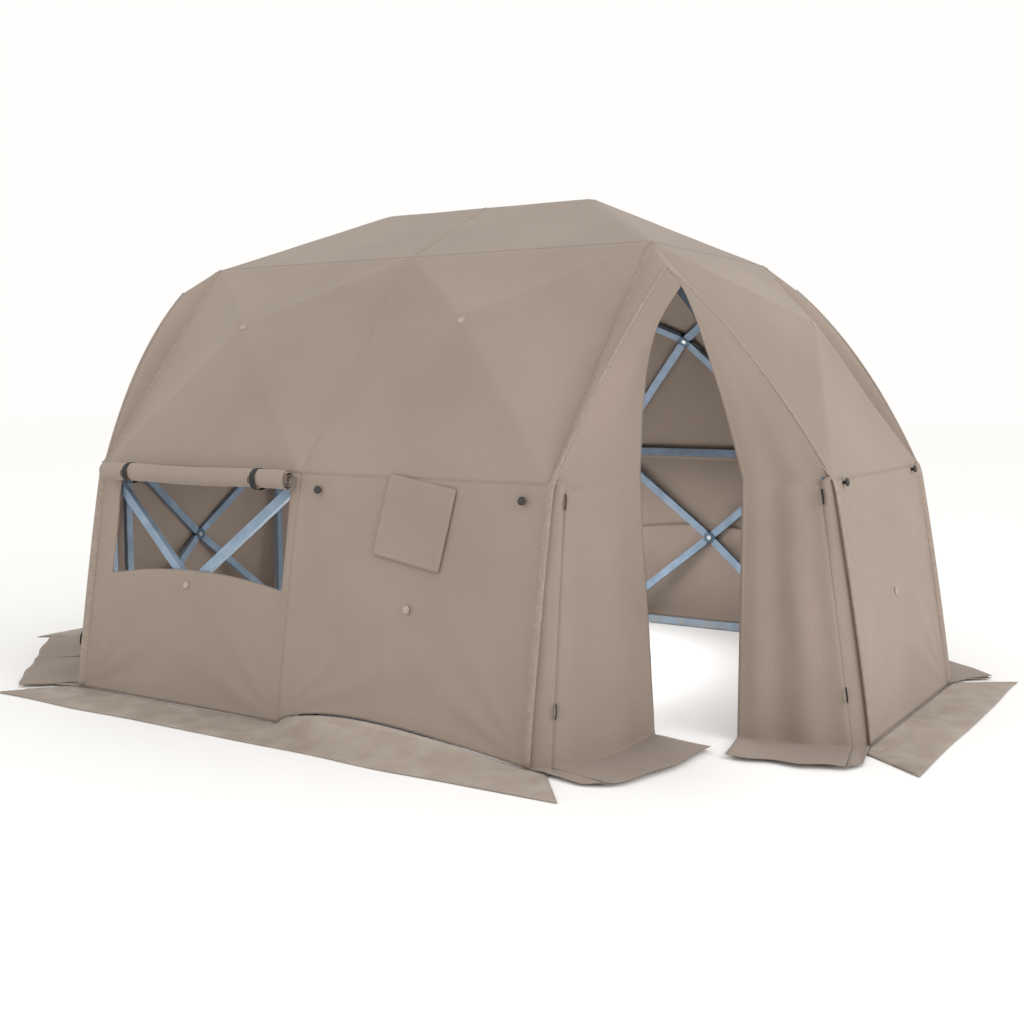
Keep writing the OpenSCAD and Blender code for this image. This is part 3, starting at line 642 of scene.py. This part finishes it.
def smooth_path(corners, count):
    """A curve through these points, worked out with Catmull and Rom's cubic between each two."""
    p = np.array([corners[0], *corners, corners[-1]])
    spans = len(corners) - 1
    t = np.linspace(0, spans - 1e-9, count)
    k, f = t.astype(int), (t % 1)[:, None]
    a, b, c, d = p[k], p[k + 1], p[k + 2], p[k + 3]
    return 0.5 * (2 * b + (c - a) * f + (2 * a - 5 * b + 4 * c - d) * f**2
                  + (3 * b - a - 3 * c + d) * f**3)


jamb_foot = np.array([0.105, -1.225])


def hinge_line(heights, hinge_place):
    """The line where a leaf meets its jamb strip: from the eave's corner to the hinge, and then
    down, leaning out with the wall to its own place at the foot."""
    ease = np.clip((eave_h + 0.035 - heights) / 0.035, 0, 1)[:, None]
    low = np.clip((eave_h - heights) / eave_h, 0, 1)[:, None]
    eave = np.array([0, -eave_fold])
    flat = (1 - ease) * eave + ease * ((1 - low) * hinge_place[:2] + low * jamb_foot)
    return np.concatenate([flat, heights[:, None]], 1)


def ground_skirt(foot_line, out, seed):
    """Rows that turn a hanging cloth's foot out onto the ground, and run on to the skirt's hem."""
    turn_r = 0.010
    rows = []
    for bend in np.linspace(0, math.pi / 2, 5)[1:]:
        rows.append(foot_line + out * turn_r * (1 - math.cos(bend))
                    - np.array([0, 0, turn_r * math.sin(bend)]))
    level = rows[-1]
    across = np.linspace(0, 1, len(foot_line))
    for far in np.linspace(0.02, skirt_w, 14):
        wave = 0.004 * (1 + np.sin(7 * across + 9 * far + seed)) * min(1, far / 0.08)
        rows.append(level + out * far + np.stack([0 * wave, 0 * wave, wave], -1))
    return np.array(rows)


def left_leaf(free_edge, folds, fold_depth, swell, seed, hinge_place):
    """A curtain between the rim with the hinge line and its own free edge, and its skirt.

    Across the curtain run upright folds that deepen downwards, and at the foot the cloth turns
    out onto the ground.
    """
    rows, columns = 90, 31
    eave_row = 42
    rim = left_rim(np.linspace(0, 1, eave_row))
    drop = np.linspace(eave_h, leaf_foot_h, rows - eave_row + 1)[1:]
    fixed = np.concatenate([rim, hinge_line(drop, hinge_place)])
    top = smooth_path(free_edge[:-1], eave_row)
    foot = np.array(free_edge[-1])
    share = ((eave_h - drop) / (eave_h - leaf_foot_h))[:, None]
    free = np.concatenate([top, (1 - share) * np.array(free_edge[-2]) + share * foot])
    t = np.linspace(0, 1, columns)[None, :, None]
    points = fixed[:, None] + t * (free - fixed)[:, None]
    run = free[-1] - fixed[-1]
    out = np.array([run[1], -run[0], 0]) / np.hypot(run[0], run[1])
    s = np.linspace(0, 1, rows)[:, None]
    u = t[..., 0]
    depth = fold_depth * np.sin(2 * math.pi * folds * u + seed) * np.clip(u * (1 - u) * 5, 0, 1)
    depth = depth * np.clip((s - 0.25) / 0.5, 0.12, 1)
    full = swell * np.sin(math.pi * u**0.6) * np.clip((s - 0.30) / 0.7, 0, 1)
    full = full + 0.020 * np.sin(math.pi * u) * np.sin(math.pi * np.clip(s / 0.45, 0, 1))
    slack = 0.004 * ripple(u, 3 * s, 0.9, seed) * np.clip(u * 6, 0, 1) * np.clip(s * 8, 0, 1)
    points = points + (depth + full + slack)[..., None] * out
    everything = np.concatenate([points, ground_skirt(points[-1], out, seed)])
    width = np.linalg.norm(free - fixed, axis=-1)
    width = np.concatenate([width, np.full(len(everything) - rows, width[-1])])
    length = np.concatenate([[0], np.cumsum(np.linalg.norm(np.diff(everything[:, 0], axis=0), axis=-1))])
    plane = np.stack([u * width[:, None], 0 * u + length[:, None]], -1)
    edge = seam_gap_to((1 - u) * width[:, None], (length[-1] - length)[:, None] + 0 * u)
    return everything, plane, edge


closed_middle = np.array([eave_fold / 2, -eave_fold / 2, eave_h])
closed_foot = np.array([jamb_foot[0] - jamb_foot[1], jamb_foot[1] - jamb_foot[0], 2 * leaf_foot_h]) / 2
open_peak = corner_frame(door_corners[0], (1.895, -1.02, 2.375))
open_left = [open_peak] + [corner_frame(door_corners[0], p) for p in (
    (1.843, -1.215, 2.137), (1.795, -1.250, 1.760), (1.777, -1.246, 1.369), (1.859, -1.207, leaf_foot_h))]
open_right = [open_peak] + [corner_frame(door_corners[0], p) for p in (
    (2.034, -1.120, 2.162), (2.150, -1.050, 1.750), (2.236, -0.989, 1.369), (2.250, -1.030, leaf_foot_h))]
open_right = [mirrored(np.array(p)) for p in open_right]

swing_row = 60
for k, corner in enumerate(door_corners):
    for side in ("left", "right"):
        body = f"leaf_{corner[0]}_{side}"
        hinge = corner_frame(corner, hinges[body])
        hinge = hinge if side == "left" else mirrored(hinge)
        if corner[0] == "southeast":
            free, folds, depth, swell = (open_left, 1.5, 0.010, 0.055) if side == "left" else (
                open_right, 2.0, 0.016, 0.020)
        else:
            gap = np.array([-0.0020, -0.0020, 0])
            low = closed_middle + gap
            peak = hood_peak + np.array([-0.01, -0.01, -0.02])
            free = [peak, 0.5 * (peak + low) + np.array([0.03, -0.03, 0.03]), low,
                    closed_foot + gap]
            folds, depth, swell = 1.5, 0.008, 0.012
        grid = left_leaf(free, folds, depth, swell, 80 + 2 * k + len(side), hinge)
        grid = grid if side == "left" else turned_over(grid)
        leaf = sheet_of(body + "_cloth", [(at_corner(corner, grid[0]), *grid[1:])], door_cloth_painted_shade)
        rim_foot = np.array([0, -eave_fold, eave_h])
        leaf_rim = at_corner(corner, rim_foot if side == "left" else mirrored(rim_foot))
        free_low = grid[0][swing_row, -1 if side == "left" else 0]
        inwards = at_corner(corner, free_low) - leaf_rim
        inwards[2] = 0
        inwards = inwards / np.linalg.norm(inwards)
        rim_run = at_corner(corner, hood_peak) - leaf_rim
        rim_run = rim_run / np.linalg.norm(rim_run)
        draw = inwards - rim_run * (inwards @ rim_run)
        draw = draw / np.linalg.norm(draw)
        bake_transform(leaf)
        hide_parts(body, "door_top_curtains")

# ---- Door jamb strips ----
# Between each wall's corner and its door leaf a narrow strip of the cover stays fixed. It
# wraps round the post, and its own skirt lies on the ground in line with the leaf's.


def left_strip(hinge_place, leaf_out, seed):
    """A sheet from the wall's leaning corner to the hinge line, bowed out round the post."""
    heights = np.linspace(eave_h + 0.020, leaf_foot_h - 0.005, 60)
    share = np.clip((eave_h - heights) / (eave_h - hem_h), 0, 1)[:, None]
    rib = 0.018 * np.sin(math.pi * share) ** 0.4 - 0.005
    corner = np.concatenate([0 * share - 0.022, -eave_fold - (foot_out - eave_fold) * share - rib,
                             heights[:, None]], 1)
    line = hinge_line(heights, hinge_place)
    t = np.linspace(0, 1, 13)
    points = corner[:, None] + t[None, :, None] * (line - corner)[:, None]
    bowed = np.sin(math.pi * t[None, :]) ** 0.8 * (0.012 + 0.024 * np.exp(-share / 0.2))
    bowed = bowed + 0.003 * ripple(t[None, :], 2 * share, 0.6, seed) * np.sin(math.pi * t[None, :])
    points = points + bowed[..., None] * np.array([0.98, -0.19, 0])
    facing = (1 - t)[:, None] * np.array([0.98, -0.19, 0]) + t[:, None] * leaf_out
    skirt = ground_skirt(points[-1], facing / np.linalg.norm(facing, axis=-1)[:, None], seed)
    everything = np.concatenate([points, skirt])
    width = np.linalg.norm(line - corner, axis=-1)
    width = np.concatenate([width, np.full(len(skirt), width[-1])])[:, None]
    length = np.linspace(0, eave_h + skirt_w, len(everything))[:, None]
    plane = np.stack([t * width, 0 * t + length], -1)
    return everything, plane, seam_gap_to(length[-1] - length + 0 * t)


strip_grids = []
for k, corner in enumerate(door_corners):
    for side in ("left", "right"):
        hinge = corner_frame(corner, hinges[f"leaf_{corner[0]}_{side}"])
        hinge = hinge if side == "left" else mirrored(hinge)
        leaf_foot = closed_foot
        if corner[0] == "southeast":
            leaf_foot = (open_left if side == "left" else open_right)[-1]
        foot_run = (leaf_foot[:2] - jamb_foot) / np.linalg.norm(leaf_foot[:2] - jamb_foot)
        facing = np.array([foot_run[1], -foot_run[0], 0])
        grid = left_strip(hinge, facing, 120 + k)
        grid = grid if side == "left" else turned_over(grid)
        strip_grids.append((at_corner(corner, grid[0]), *grid[1:]))
# The jamb strips use the door cloth, with its painted shade.
strip_cloth = sheet_of("door_jamb_cloth", strip_grids, door_cloth_painted_shade)
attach(strip_cloth, "root")
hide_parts("door_jamb_strips")

# ---- Ground flaps ----
# A wide flap is sewn to the foot of each wall and lies on the ground, where it is weighted or
# buried. Its edge is hemmed, it is dusty, and it lies in slow waves.

flap_cloth = cloth_colours("ground flap cloth", (0.385, 0.315, 0.262), tan_dark, dust=0.5)
flap_w = 0.345
flap_past = 0.370


def wall_flap(turn, roof_bar, half_l, lifts, seed):
    """A strip from the wall's foot outwards, wider at its outer edge, in slow waves."""
    along, share = laid_out(np.linspace(-1, 1, 2 + round(2 * half_l / 0.03)), np.linspace(1, 0, 15))
    x = along * (half_l + flap_past * (0.3 + 0.7 * share))
    out = foot_out + 0.001 + share * (flap_w + 0.018 * ripple(x, 0 * x, 1.6, seed))
    wave = 0.0035 * (1 + ripple(x, 3 * share, 0.5, seed + 1)) * np.sin(math.pi * share) ** 0.5
    height = 0.0035 + wave + 0.006 * share * (1 + ripple(x, 0 * x, 0.9, seed + 2)) / 2
    height = height + (hem_h - 0.0015 - height) * np.exp(-share / 0.10)
    rise = 0 * x
    for middle in lifts:
        wall = (turn, roof_bar, middle)
        inside = abs(x - middle) < half_bay
        rise = rise + np.where(inside, hem_lift(np.clip(x - middle, -half_bay, half_bay), wall), 0)
    height = height + 0.90 * rise * (1 - share) ** 3
    points = on_side((turn, roof_bar, 0), x, out - 0.16 * rise * (1 - share) ** 3, height)
    edge = seam_gap_to(share * flap_w, (1 - share) * flap_w, half_l * (1 - abs(along)))
    return points, np.stack([x, out], -1), edge


flap_grids = [wall_flap(0, half_bay, bay, (half_bay,), 5), wall_flap(180, half_bay, bay, (half_bay,), 15),
              wall_flap(90, bay, half_bay, (), 25), wall_flap(-90, bay, half_bay, (), 35)]
for grid, side in zip(flap_grids, ("south", "north", "east", "west")):
    flap = sheet_of(f"ground_flap_{side}", [grid], flap_cloth, 0.0022)
    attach(flap, "root")
    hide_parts("ground_flaps")

# ---- Seams and corded rims ----
# A flat-felled seam runs over the roof and upper walls between the two bays. Padded sleeves
# round off the rafters and posts at the doors, and a cord in a sleeve finishes each door rim.


def section_band(width, height, points=12):
    """A closed, rounded section: half the width by the cosine, and half the height by the sine."""
    turn = np.linspace(0, 2 * math.pi, points, endpoint=False)
    return np.stack([width / 2 * np.cos(turn), height / 2 * np.sin(turn)], -1)


def swept(path, across, section, closed=False):
    """Grid of a section carried along a path: rows along it, columns round it.

    across is the section's first direction at each point, and its second is square to both.
    """
    ahead = np.gradient(path, axis=0)
    if closed:
        ahead = np.roll(path, -1, 0) - np.roll(path, 1, 0)
    ahead = ahead / np.linalg.norm(ahead, axis=-1, keepdims=True)
    across = np.broadcast_to(np.asarray(across, float), path.shape)
    across = across - ahead * np.sum(across * ahead, -1, keepdims=True)
    across = across / np.linalg.norm(across, axis=-1, keepdims=True)
    above = np.cross(ahead, across)
    return (path[:, None] + section[None, :, :1] * across[:, None] + section[None, :, 1:] * above[:, None])


def solid_of(name, rings, material, closed=False):
    """One closed mesh from several grids of rings, with flat ends unless the path is closed."""
    places, faces, first = [], [], 0
    for ring in rings:
        rows, columns = ring.shape[:2]
        index = first + np.arange(rows * columns).reshape(rows, columns)
        wrapped = np.concatenate([index, index[:, :1]], 1)
        if closed:
            wrapped = np.concatenate([wrapped, wrapped[:1]], 0)
        corners = np.stack([wrapped[:-1, :-1], wrapped[:-1, 1:], wrapped[1:, 1:], wrapped[1:, :-1]], -1)
        faces.extend(corners.reshape(-1, 4).tolist())
        if not closed:
            faces.append(index[0, ::-1].tolist())
            faces.append(index[-1].tolist())
        places.append(ring.reshape(-1, 3))
        first += rows * columns
    mesh = bpy.data.meshes.new(name)
    mesh.from_pydata(np.concatenate(places).tolist(), [], faces)
    work = bmesh.new()
    work.from_mesh(mesh)
    bmesh.ops.remove_doubles(work, verts=work.verts, dist=1e-5)
    bmesh.ops.recalc_face_normals(work, faces=work.faces)
    work.to_mesh(mesh)
    work.free()
    mesh.polygons.foreach_set("use_smooth", [True] * len(mesh.polygons))
    mesh.materials.append(material)
    piece = bpy.data.objects.new(name, mesh)
    scene.collection.objects.link(piece)
    return piece


def bound_cloth(name, colour):
    """Seam tape and rim sleeves: the cover's own cloth, close woven, rubbed a little paler."""
    finish = Finish(name)
    rubbed = finish.ramp(finish.noise(40, 4), 0.42, 0.68)
    finish.join(finish.mix(rubbed, tuple(0.86 * c for c in colour), colour), colour_socket(finish))
    finish.join(finish.ramp(rubbed, 0, 1, 0.86, 0.76), finish.shader.inputs["Roughness"])
    finish.join(finish.bump(finish.noise(800, 2), 0.3, 0.0006), finish.shader.inputs["Normal"])
    return finish.material


tape_cloth = bound_cloth("seam tape", (0.340, 0.272, 0.224))
seam_y = np.linspace(0, half_bay + roof_fold, 40)
over_roof = np.stack([0 * seam_y, -seam_y, roof_surface(0 * seam_y, seam_y)], -1)
down_wall = np.linspace(0, 1, 60)[1:, None]
eave_point = np.array([0, -half_bay - eave_fold, eave_h])
roof_point = over_roof[-1]
seam_half = np.concatenate([over_roof, roof_point + down_wall * (eave_point - roof_point)])
seam_path = np.concatenate([seam_half[::-1], (seam_half * np.array([1, -1, 1]))[1:]])
seam_rings = swept(seam_path, (1, 0, 0), section_band(0.017, 0.0075))
middle_seam = solid_of("middle_seam", [seam_rings], tape_cloth)
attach(middle_seam, "root")

sleeves = []
fall = np.linspace(0.015, 1, 60)[:, None]
rafter_line = np.array([roof_fold, -roof_fold, roof_fold_h]) * (1 - fall) + fall * np.array(
    [0, -eave_fold, eave_h])
post_line = np.array([0, -eave_fold, eave_h]) * (1 - fall) + fall * np.array([0, -foot_out, hem_h + 0.012])
post_line[:, 1] -= 0.016 * np.sin(math.pi * fall[:, 0]) ** 0.4
corner_line = np.concatenate([rafter_line, post_line[1:]])
corner_line = corner_line - np.array([0, 0, 0.002])
for corner in door_corners:
    for line, across in ((corner_line, (1, -0.35, 0)), (mirrored(corner_line), (0.35, -1, 0))):
        turn = math.radians(corner[1])
        across = (across[0] * math.cos(turn) - across[1] * math.sin(turn),
                  across[0] * math.sin(turn) + across[1] * math.cos(turn), 0)
        sleeves.append(swept(at_corner(corner, line), across, section_band(0.052, 0.020, 20)))
corner_sleeves = solid_of("corner_sleeves", sleeves, tape_cloth)
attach(corner_sleeves, "root")

rims = []
for corner in door_corners:
    rim_line = left_rim(np.linspace(0, 1, 50))
    for line in (rim_line, mirrored(rim_line)):
        rims.append(swept(at_corner(corner, line), (0, 0, 1), section_band(0.016, 0.016)))
rim_cord = solid_of("door_rim_cords", rims, tape_cloth)
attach(rim_cord, "root")

# ---- Rolled window flap and its straps ----
# The open window's flap is rolled up tight above the opening and held by two black webbing
# straps. Its spiral shows at the ends, and the straps pinch it a little.

roll_low, roll_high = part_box("window_roll")
roll_r = (roll_high.z - roll_low.z) / 2
roll_mid = (roll_low + roll_high) / 2
strap_mids = [roll_mid.x - 0.512, roll_mid.x + 0.520]


def roll_points():
    """A spiral carried along X: its radius grows with its turn, less a pinch at each strap."""
    wound = 2.9 * 2 * math.pi
    x, turn = laid_out(np.linspace(roll_low.x + 0.03, roll_high.x - 0.02, 110),
                       np.linspace(0, wound, 150))
    grown = turn / wound
    pinch = sum(np.exp(-(((x - mid) / 0.035) ** 2)) for mid in strap_mids)
    radius = (0.012 + (roll_r - 0.012) * grown) * (1 - 0.05 * pinch * grown)
    radius = radius - 0.002 * grown * (1 + ripple(x, 0.15 * np.cos(turn), 0.35, 9)) / 2
    sag = 0.010 * np.cos(math.pi * (x - roll_mid.x) / 0.52) - 0.004
    start = math.pi * 0.6
    points = np.stack([x, roll_mid.y - radius * np.cos(turn + start),
                       roll_mid.z - sag * 0.35 + radius * np.sin(turn + start)], -1)
    plane = np.stack([x, radius * turn / 2], -1)
    ends = np.minimum(x - roll_low.x, roll_high.x - x)
    return points, plane, ends


rolled_flap = sheet_of("rolled_window_flap", [roll_points()], cover_cloth, 0.0015)
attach(rolled_flap, "root")
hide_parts("window_roll")


def webbing(name):
    """Black woven webbing: fine ribs along it and a dusty nap on the high threads."""
    finish = Finish(name)
    nap = finish.ramp(finish.noise(300, 3), 0.45, 0.7)
    finish.join(finish.mix(nap, (0.016, 0.015, 0.014), (0.050, 0.046, 0.042)), colour_socket(finish))
    ribs = finish.node("ShaderNodeTexWave", scale=300, distortion=0.4)
    finish.join(finish.place, ribs.inputs["Vector"])
    finish.join(finish.bump(ribs.outputs["Fac"], 0.4, 0.0006), finish.shader.inputs["Normal"])
    finish.shader.inputs["Roughness"].default_value = 0.78
    return finish.material


black_webbing = webbing("black webbing")
around = np.linspace(0, 2 * math.pi, 64, endpoint=False)
strap_rings, buckle_rings = [], []
for mid in strap_mids:
    loop = np.stack([0 * around + mid, roll_mid.y + (roll_r + 0.0015) * np.cos(around),
                     roll_mid.z + (roll_r + 0.0015) * np.sin(around)], -1)
    strap_rings.append(swept(loop, (1, 0, 0), section_band(0.038, 0.003, 16), closed=True))
    frame_turn = np.linspace(0, 2 * math.pi, 40, endpoint=False)
    wide = 0.025 * np.sign(np.cos(frame_turn)) * abs(np.cos(frame_turn)) ** 0.4
    tall = 0.017 * np.sign(np.sin(frame_turn)) * abs(np.sin(frame_turn)) ** 0.4
    lean_y = roll_mid.y - roll_r - 0.004
    buckle = np.stack([mid + wide, lean_y + 0 * wide + 0.0015 * (tall / 0.017) ** 2, roll_mid.z + tall], -1)
    buckle_rings.append(swept(buckle, (0, 1, 0), section_band(0.004, 0.004, 8), closed=True))
straps = solid_of("roll_straps", strap_rings, black_webbing, closed=True)
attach(straps, "root")
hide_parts("window_straps")
black_rubber = moulded("black rubber", (0.045, 0.043, 0.040), (0.014, 0.013, 0.013), 600, 0.5)
buckles = solid_of("strap_buckles", buckle_rings, black_rubber, closed=True)
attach(buckles, "root")

# ---- Flaps over the ports and the north window ----
# Each is a hemmed piece of the cover's cloth, sewn on along its upper edge and held down by
# hook tape. The port flaps are square with rounded corners and sit a little askew.


def rounded(u, v, corner):
    """Coordinates from -1 to 1, with the square's corners pulled in to quarter circles."""
    x, y = np.clip(abs(u) - (1 - corner), 0, None), np.clip(abs(v) - (1 - corner), 0, None)
    far, square = np.hypot(x, y), np.maximum(x, y)
    pull = np.where(far > 0, square / np.where(far > 0, far, 1), 1)
    inner_u, inner_v = np.minimum(abs(u), 1 - corner), np.minimum(abs(v), 1 - corner)
    return np.sign(u) * (inner_u + x * pull), np.sign(v) * (inner_v + y * pull)


def hung_flap(wall, middle, size, askew, corner, swell, seed):
    """A patch on a lower wall's face, turned askew, with its middle standing a little proud."""
    u, v = laid_out(np.linspace(-1, 1, 41), np.linspace(-1, 1, 33))
    ru, rv = rounded(u, v, corner)
    x, y = ru * size[0] / 2, rv * size[1] / 2
    c, s = math.cos(math.radians(askew)), math.sin(math.radians(askew))
    along, down = middle[0] + x * c + y * s, middle[1] - (-x * s + y * c)
    held = np.cos(math.pi * u / 2) * np.cos(math.pi * v / 2)
    proud = 0.0065 + swell * np.sqrt(np.clip(held, 0, 1)) * (1 + 0.35 * ripple(x, y, 0.4, seed))
    out = eave_fold + down * lean[0] + proud * lean_out[0]
    height = eave_h + down * lean[1] + proud * lean_out[1]
    edge = np.minimum((1 - abs(u)) * size[0] / 2, (1 - abs(v)) * size[1] / 2)
    return on_side(wall, along, out, height), np.stack([x, y], -1), edge


port_w, port_down, port_askew = 0.440, 0.226, 9
for node, wall in (("south_port_flap", wall_bays[1]), ("north_port_flap", wall_bays[3])):
    port = sheet_of(node + "_cloth", [hung_flap(wall, (0, port_down), (port_w, port_w), port_askew,
                                                0.07, 0.003, 31)], cover_cloth, 0.0015)
    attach(port, node)
    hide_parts(node)
north_flap_h = 0.616
north_flap = sheet_of("north_window_flap_cloth", [hung_flap(
    wall_bays[2], (window_side, window_top - 0.040 + north_flap_h / 2), (1.45, north_flap_h), 0,
    0.03, 0.010, 33)], cover_cloth, 0.0022)
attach(north_flap, "north_window_flap")
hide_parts("north_window_flap")

# ---- Knobs, tabs and hub patches ----
# Round rubber knobs take the guy lines, webbing tabs take the ties at the door jambs, and a
# stitched patch of paler cloth covers the pin of every centre hub.


def turned(profile, centre, axis):
    """A profile of distances from the axis and along it, spun about the axis from centre."""
    axis = np.array(axis) / np.linalg.norm(axis)
    side = np.cross(axis, (0.1, 0.3, 0.7))
    side = side / np.linalg.norm(side)
    spin = np.linspace(0, 2 * math.pi, 32, endpoint=False)
    round_it = np.cos(spin)[:, None] * side + np.sin(spin)[:, None] * np.cross(axis, side)
    r, z = np.array(profile).T
    return np.array(centre) + r[:, None, None] * round_it + z[:, None, None] * axis


def wall_spot(wall, along, down, proud):
    """A point on a lower wall's face, and the way the face looks there."""
    at, off = (on_side(wall, along, eave_fold + down * lean[0] + p * lean_out[0],
                       eave_h + down * lean[1] + p * lean_out[1]) for p in (proud, proud + 1))
    return at, off - at


knob_profile = [(0.001, 0), (0.009, 0), (0.009, 0.013), (0.014, 0.0145), (0.0195, 0.016), (0.022, 0.020),
                (0.022, 0.025), (0.0195, 0.0285), (0.012, 0.030), (0.001, 0.0305)]
knob_spots = [(wall, side * 0.655, 0.085) for wall in (wall_bays[1], wall_bays[3]) for side in (-1, 1)]
knob_spots += [(wall, side * 0.655, 0.020) for wall in wall_bays[4:] for side in (-1, 1)]
knobs = solid_of("guy_line_knobs", [turned(knob_profile, *wall_spot(*spot, 0.001)) for spot in knob_spots],
                 black_rubber)
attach(knobs, "root")
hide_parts("guy_knobs")

tabs = []
tab_rise = np.linspace(-0.0375, 0.0375, 16)
hinge_left = corner_frame(door_corners[0], hinges["leaf_southeast_left"])
for corner in door_corners:
    outwards = (1 if corner[1] in (0, 180) else -1, -1, 0)
    for tab_h in (0.290, 1.290):
        jamb = hinge_line(tab_h + tab_rise, hinge_left)[:, :2]
        loop = (0.016 + 0.006 * (1 - (tab_rise / 0.0375) ** 2))[:, None]
        tab = np.concatenate([jamb + loop * np.array([0.85, -0.5]), (tab_h + tab_rise)[:, None]], 1)
        for line in (tab, mirrored(tab)):
            tabs.append(swept(at_corner(corner, line), outwards, section_band(0.020, 0.0035)))
tie_tabs = solid_of("tie_tab_loops", tabs, black_webbing)
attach(tie_tabs, "root")
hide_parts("tie_tabs")

patch_profile = [(0.001, 0.0025), (0.010, 0.0028), (0.014, 0.0022), (0.016, 0.0034), (0.019, 0.0030),
                 (0.021, 0.0010), (0.0215, -0.003), (0.001, -0.003)]
patch_cloth = bound_cloth("hub patch cloth", (0.44, 0.37, 0.315))
low_patches = solid_of("lower_hub_patches", [turned(patch_profile, *wall_spot(wall, 0, hub_down, 0.004))
                                             for wall in wall_bays], patch_cloth)
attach(low_patches, "root")
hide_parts("lower_hub_buttons")
high = []
for wall in wall_bays:
    spots = [on_side(wall, 0.0, eave_fold + peak_up * slope_l * slope[0] + p * slope_out[0],
                     eave_h + peak_up * slope_l * slope[1] + p * slope_out[1])
             for p in (peak_proud - 0.011, peak_proud + 1)]
    high.append(turned(patch_profile, spots[0], spots[1] - spots[0]))
high_patches = solid_of("upper_hub_patches", high, patch_cloth)
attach(high_patches, "root")
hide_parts("upper_hub_buttons")
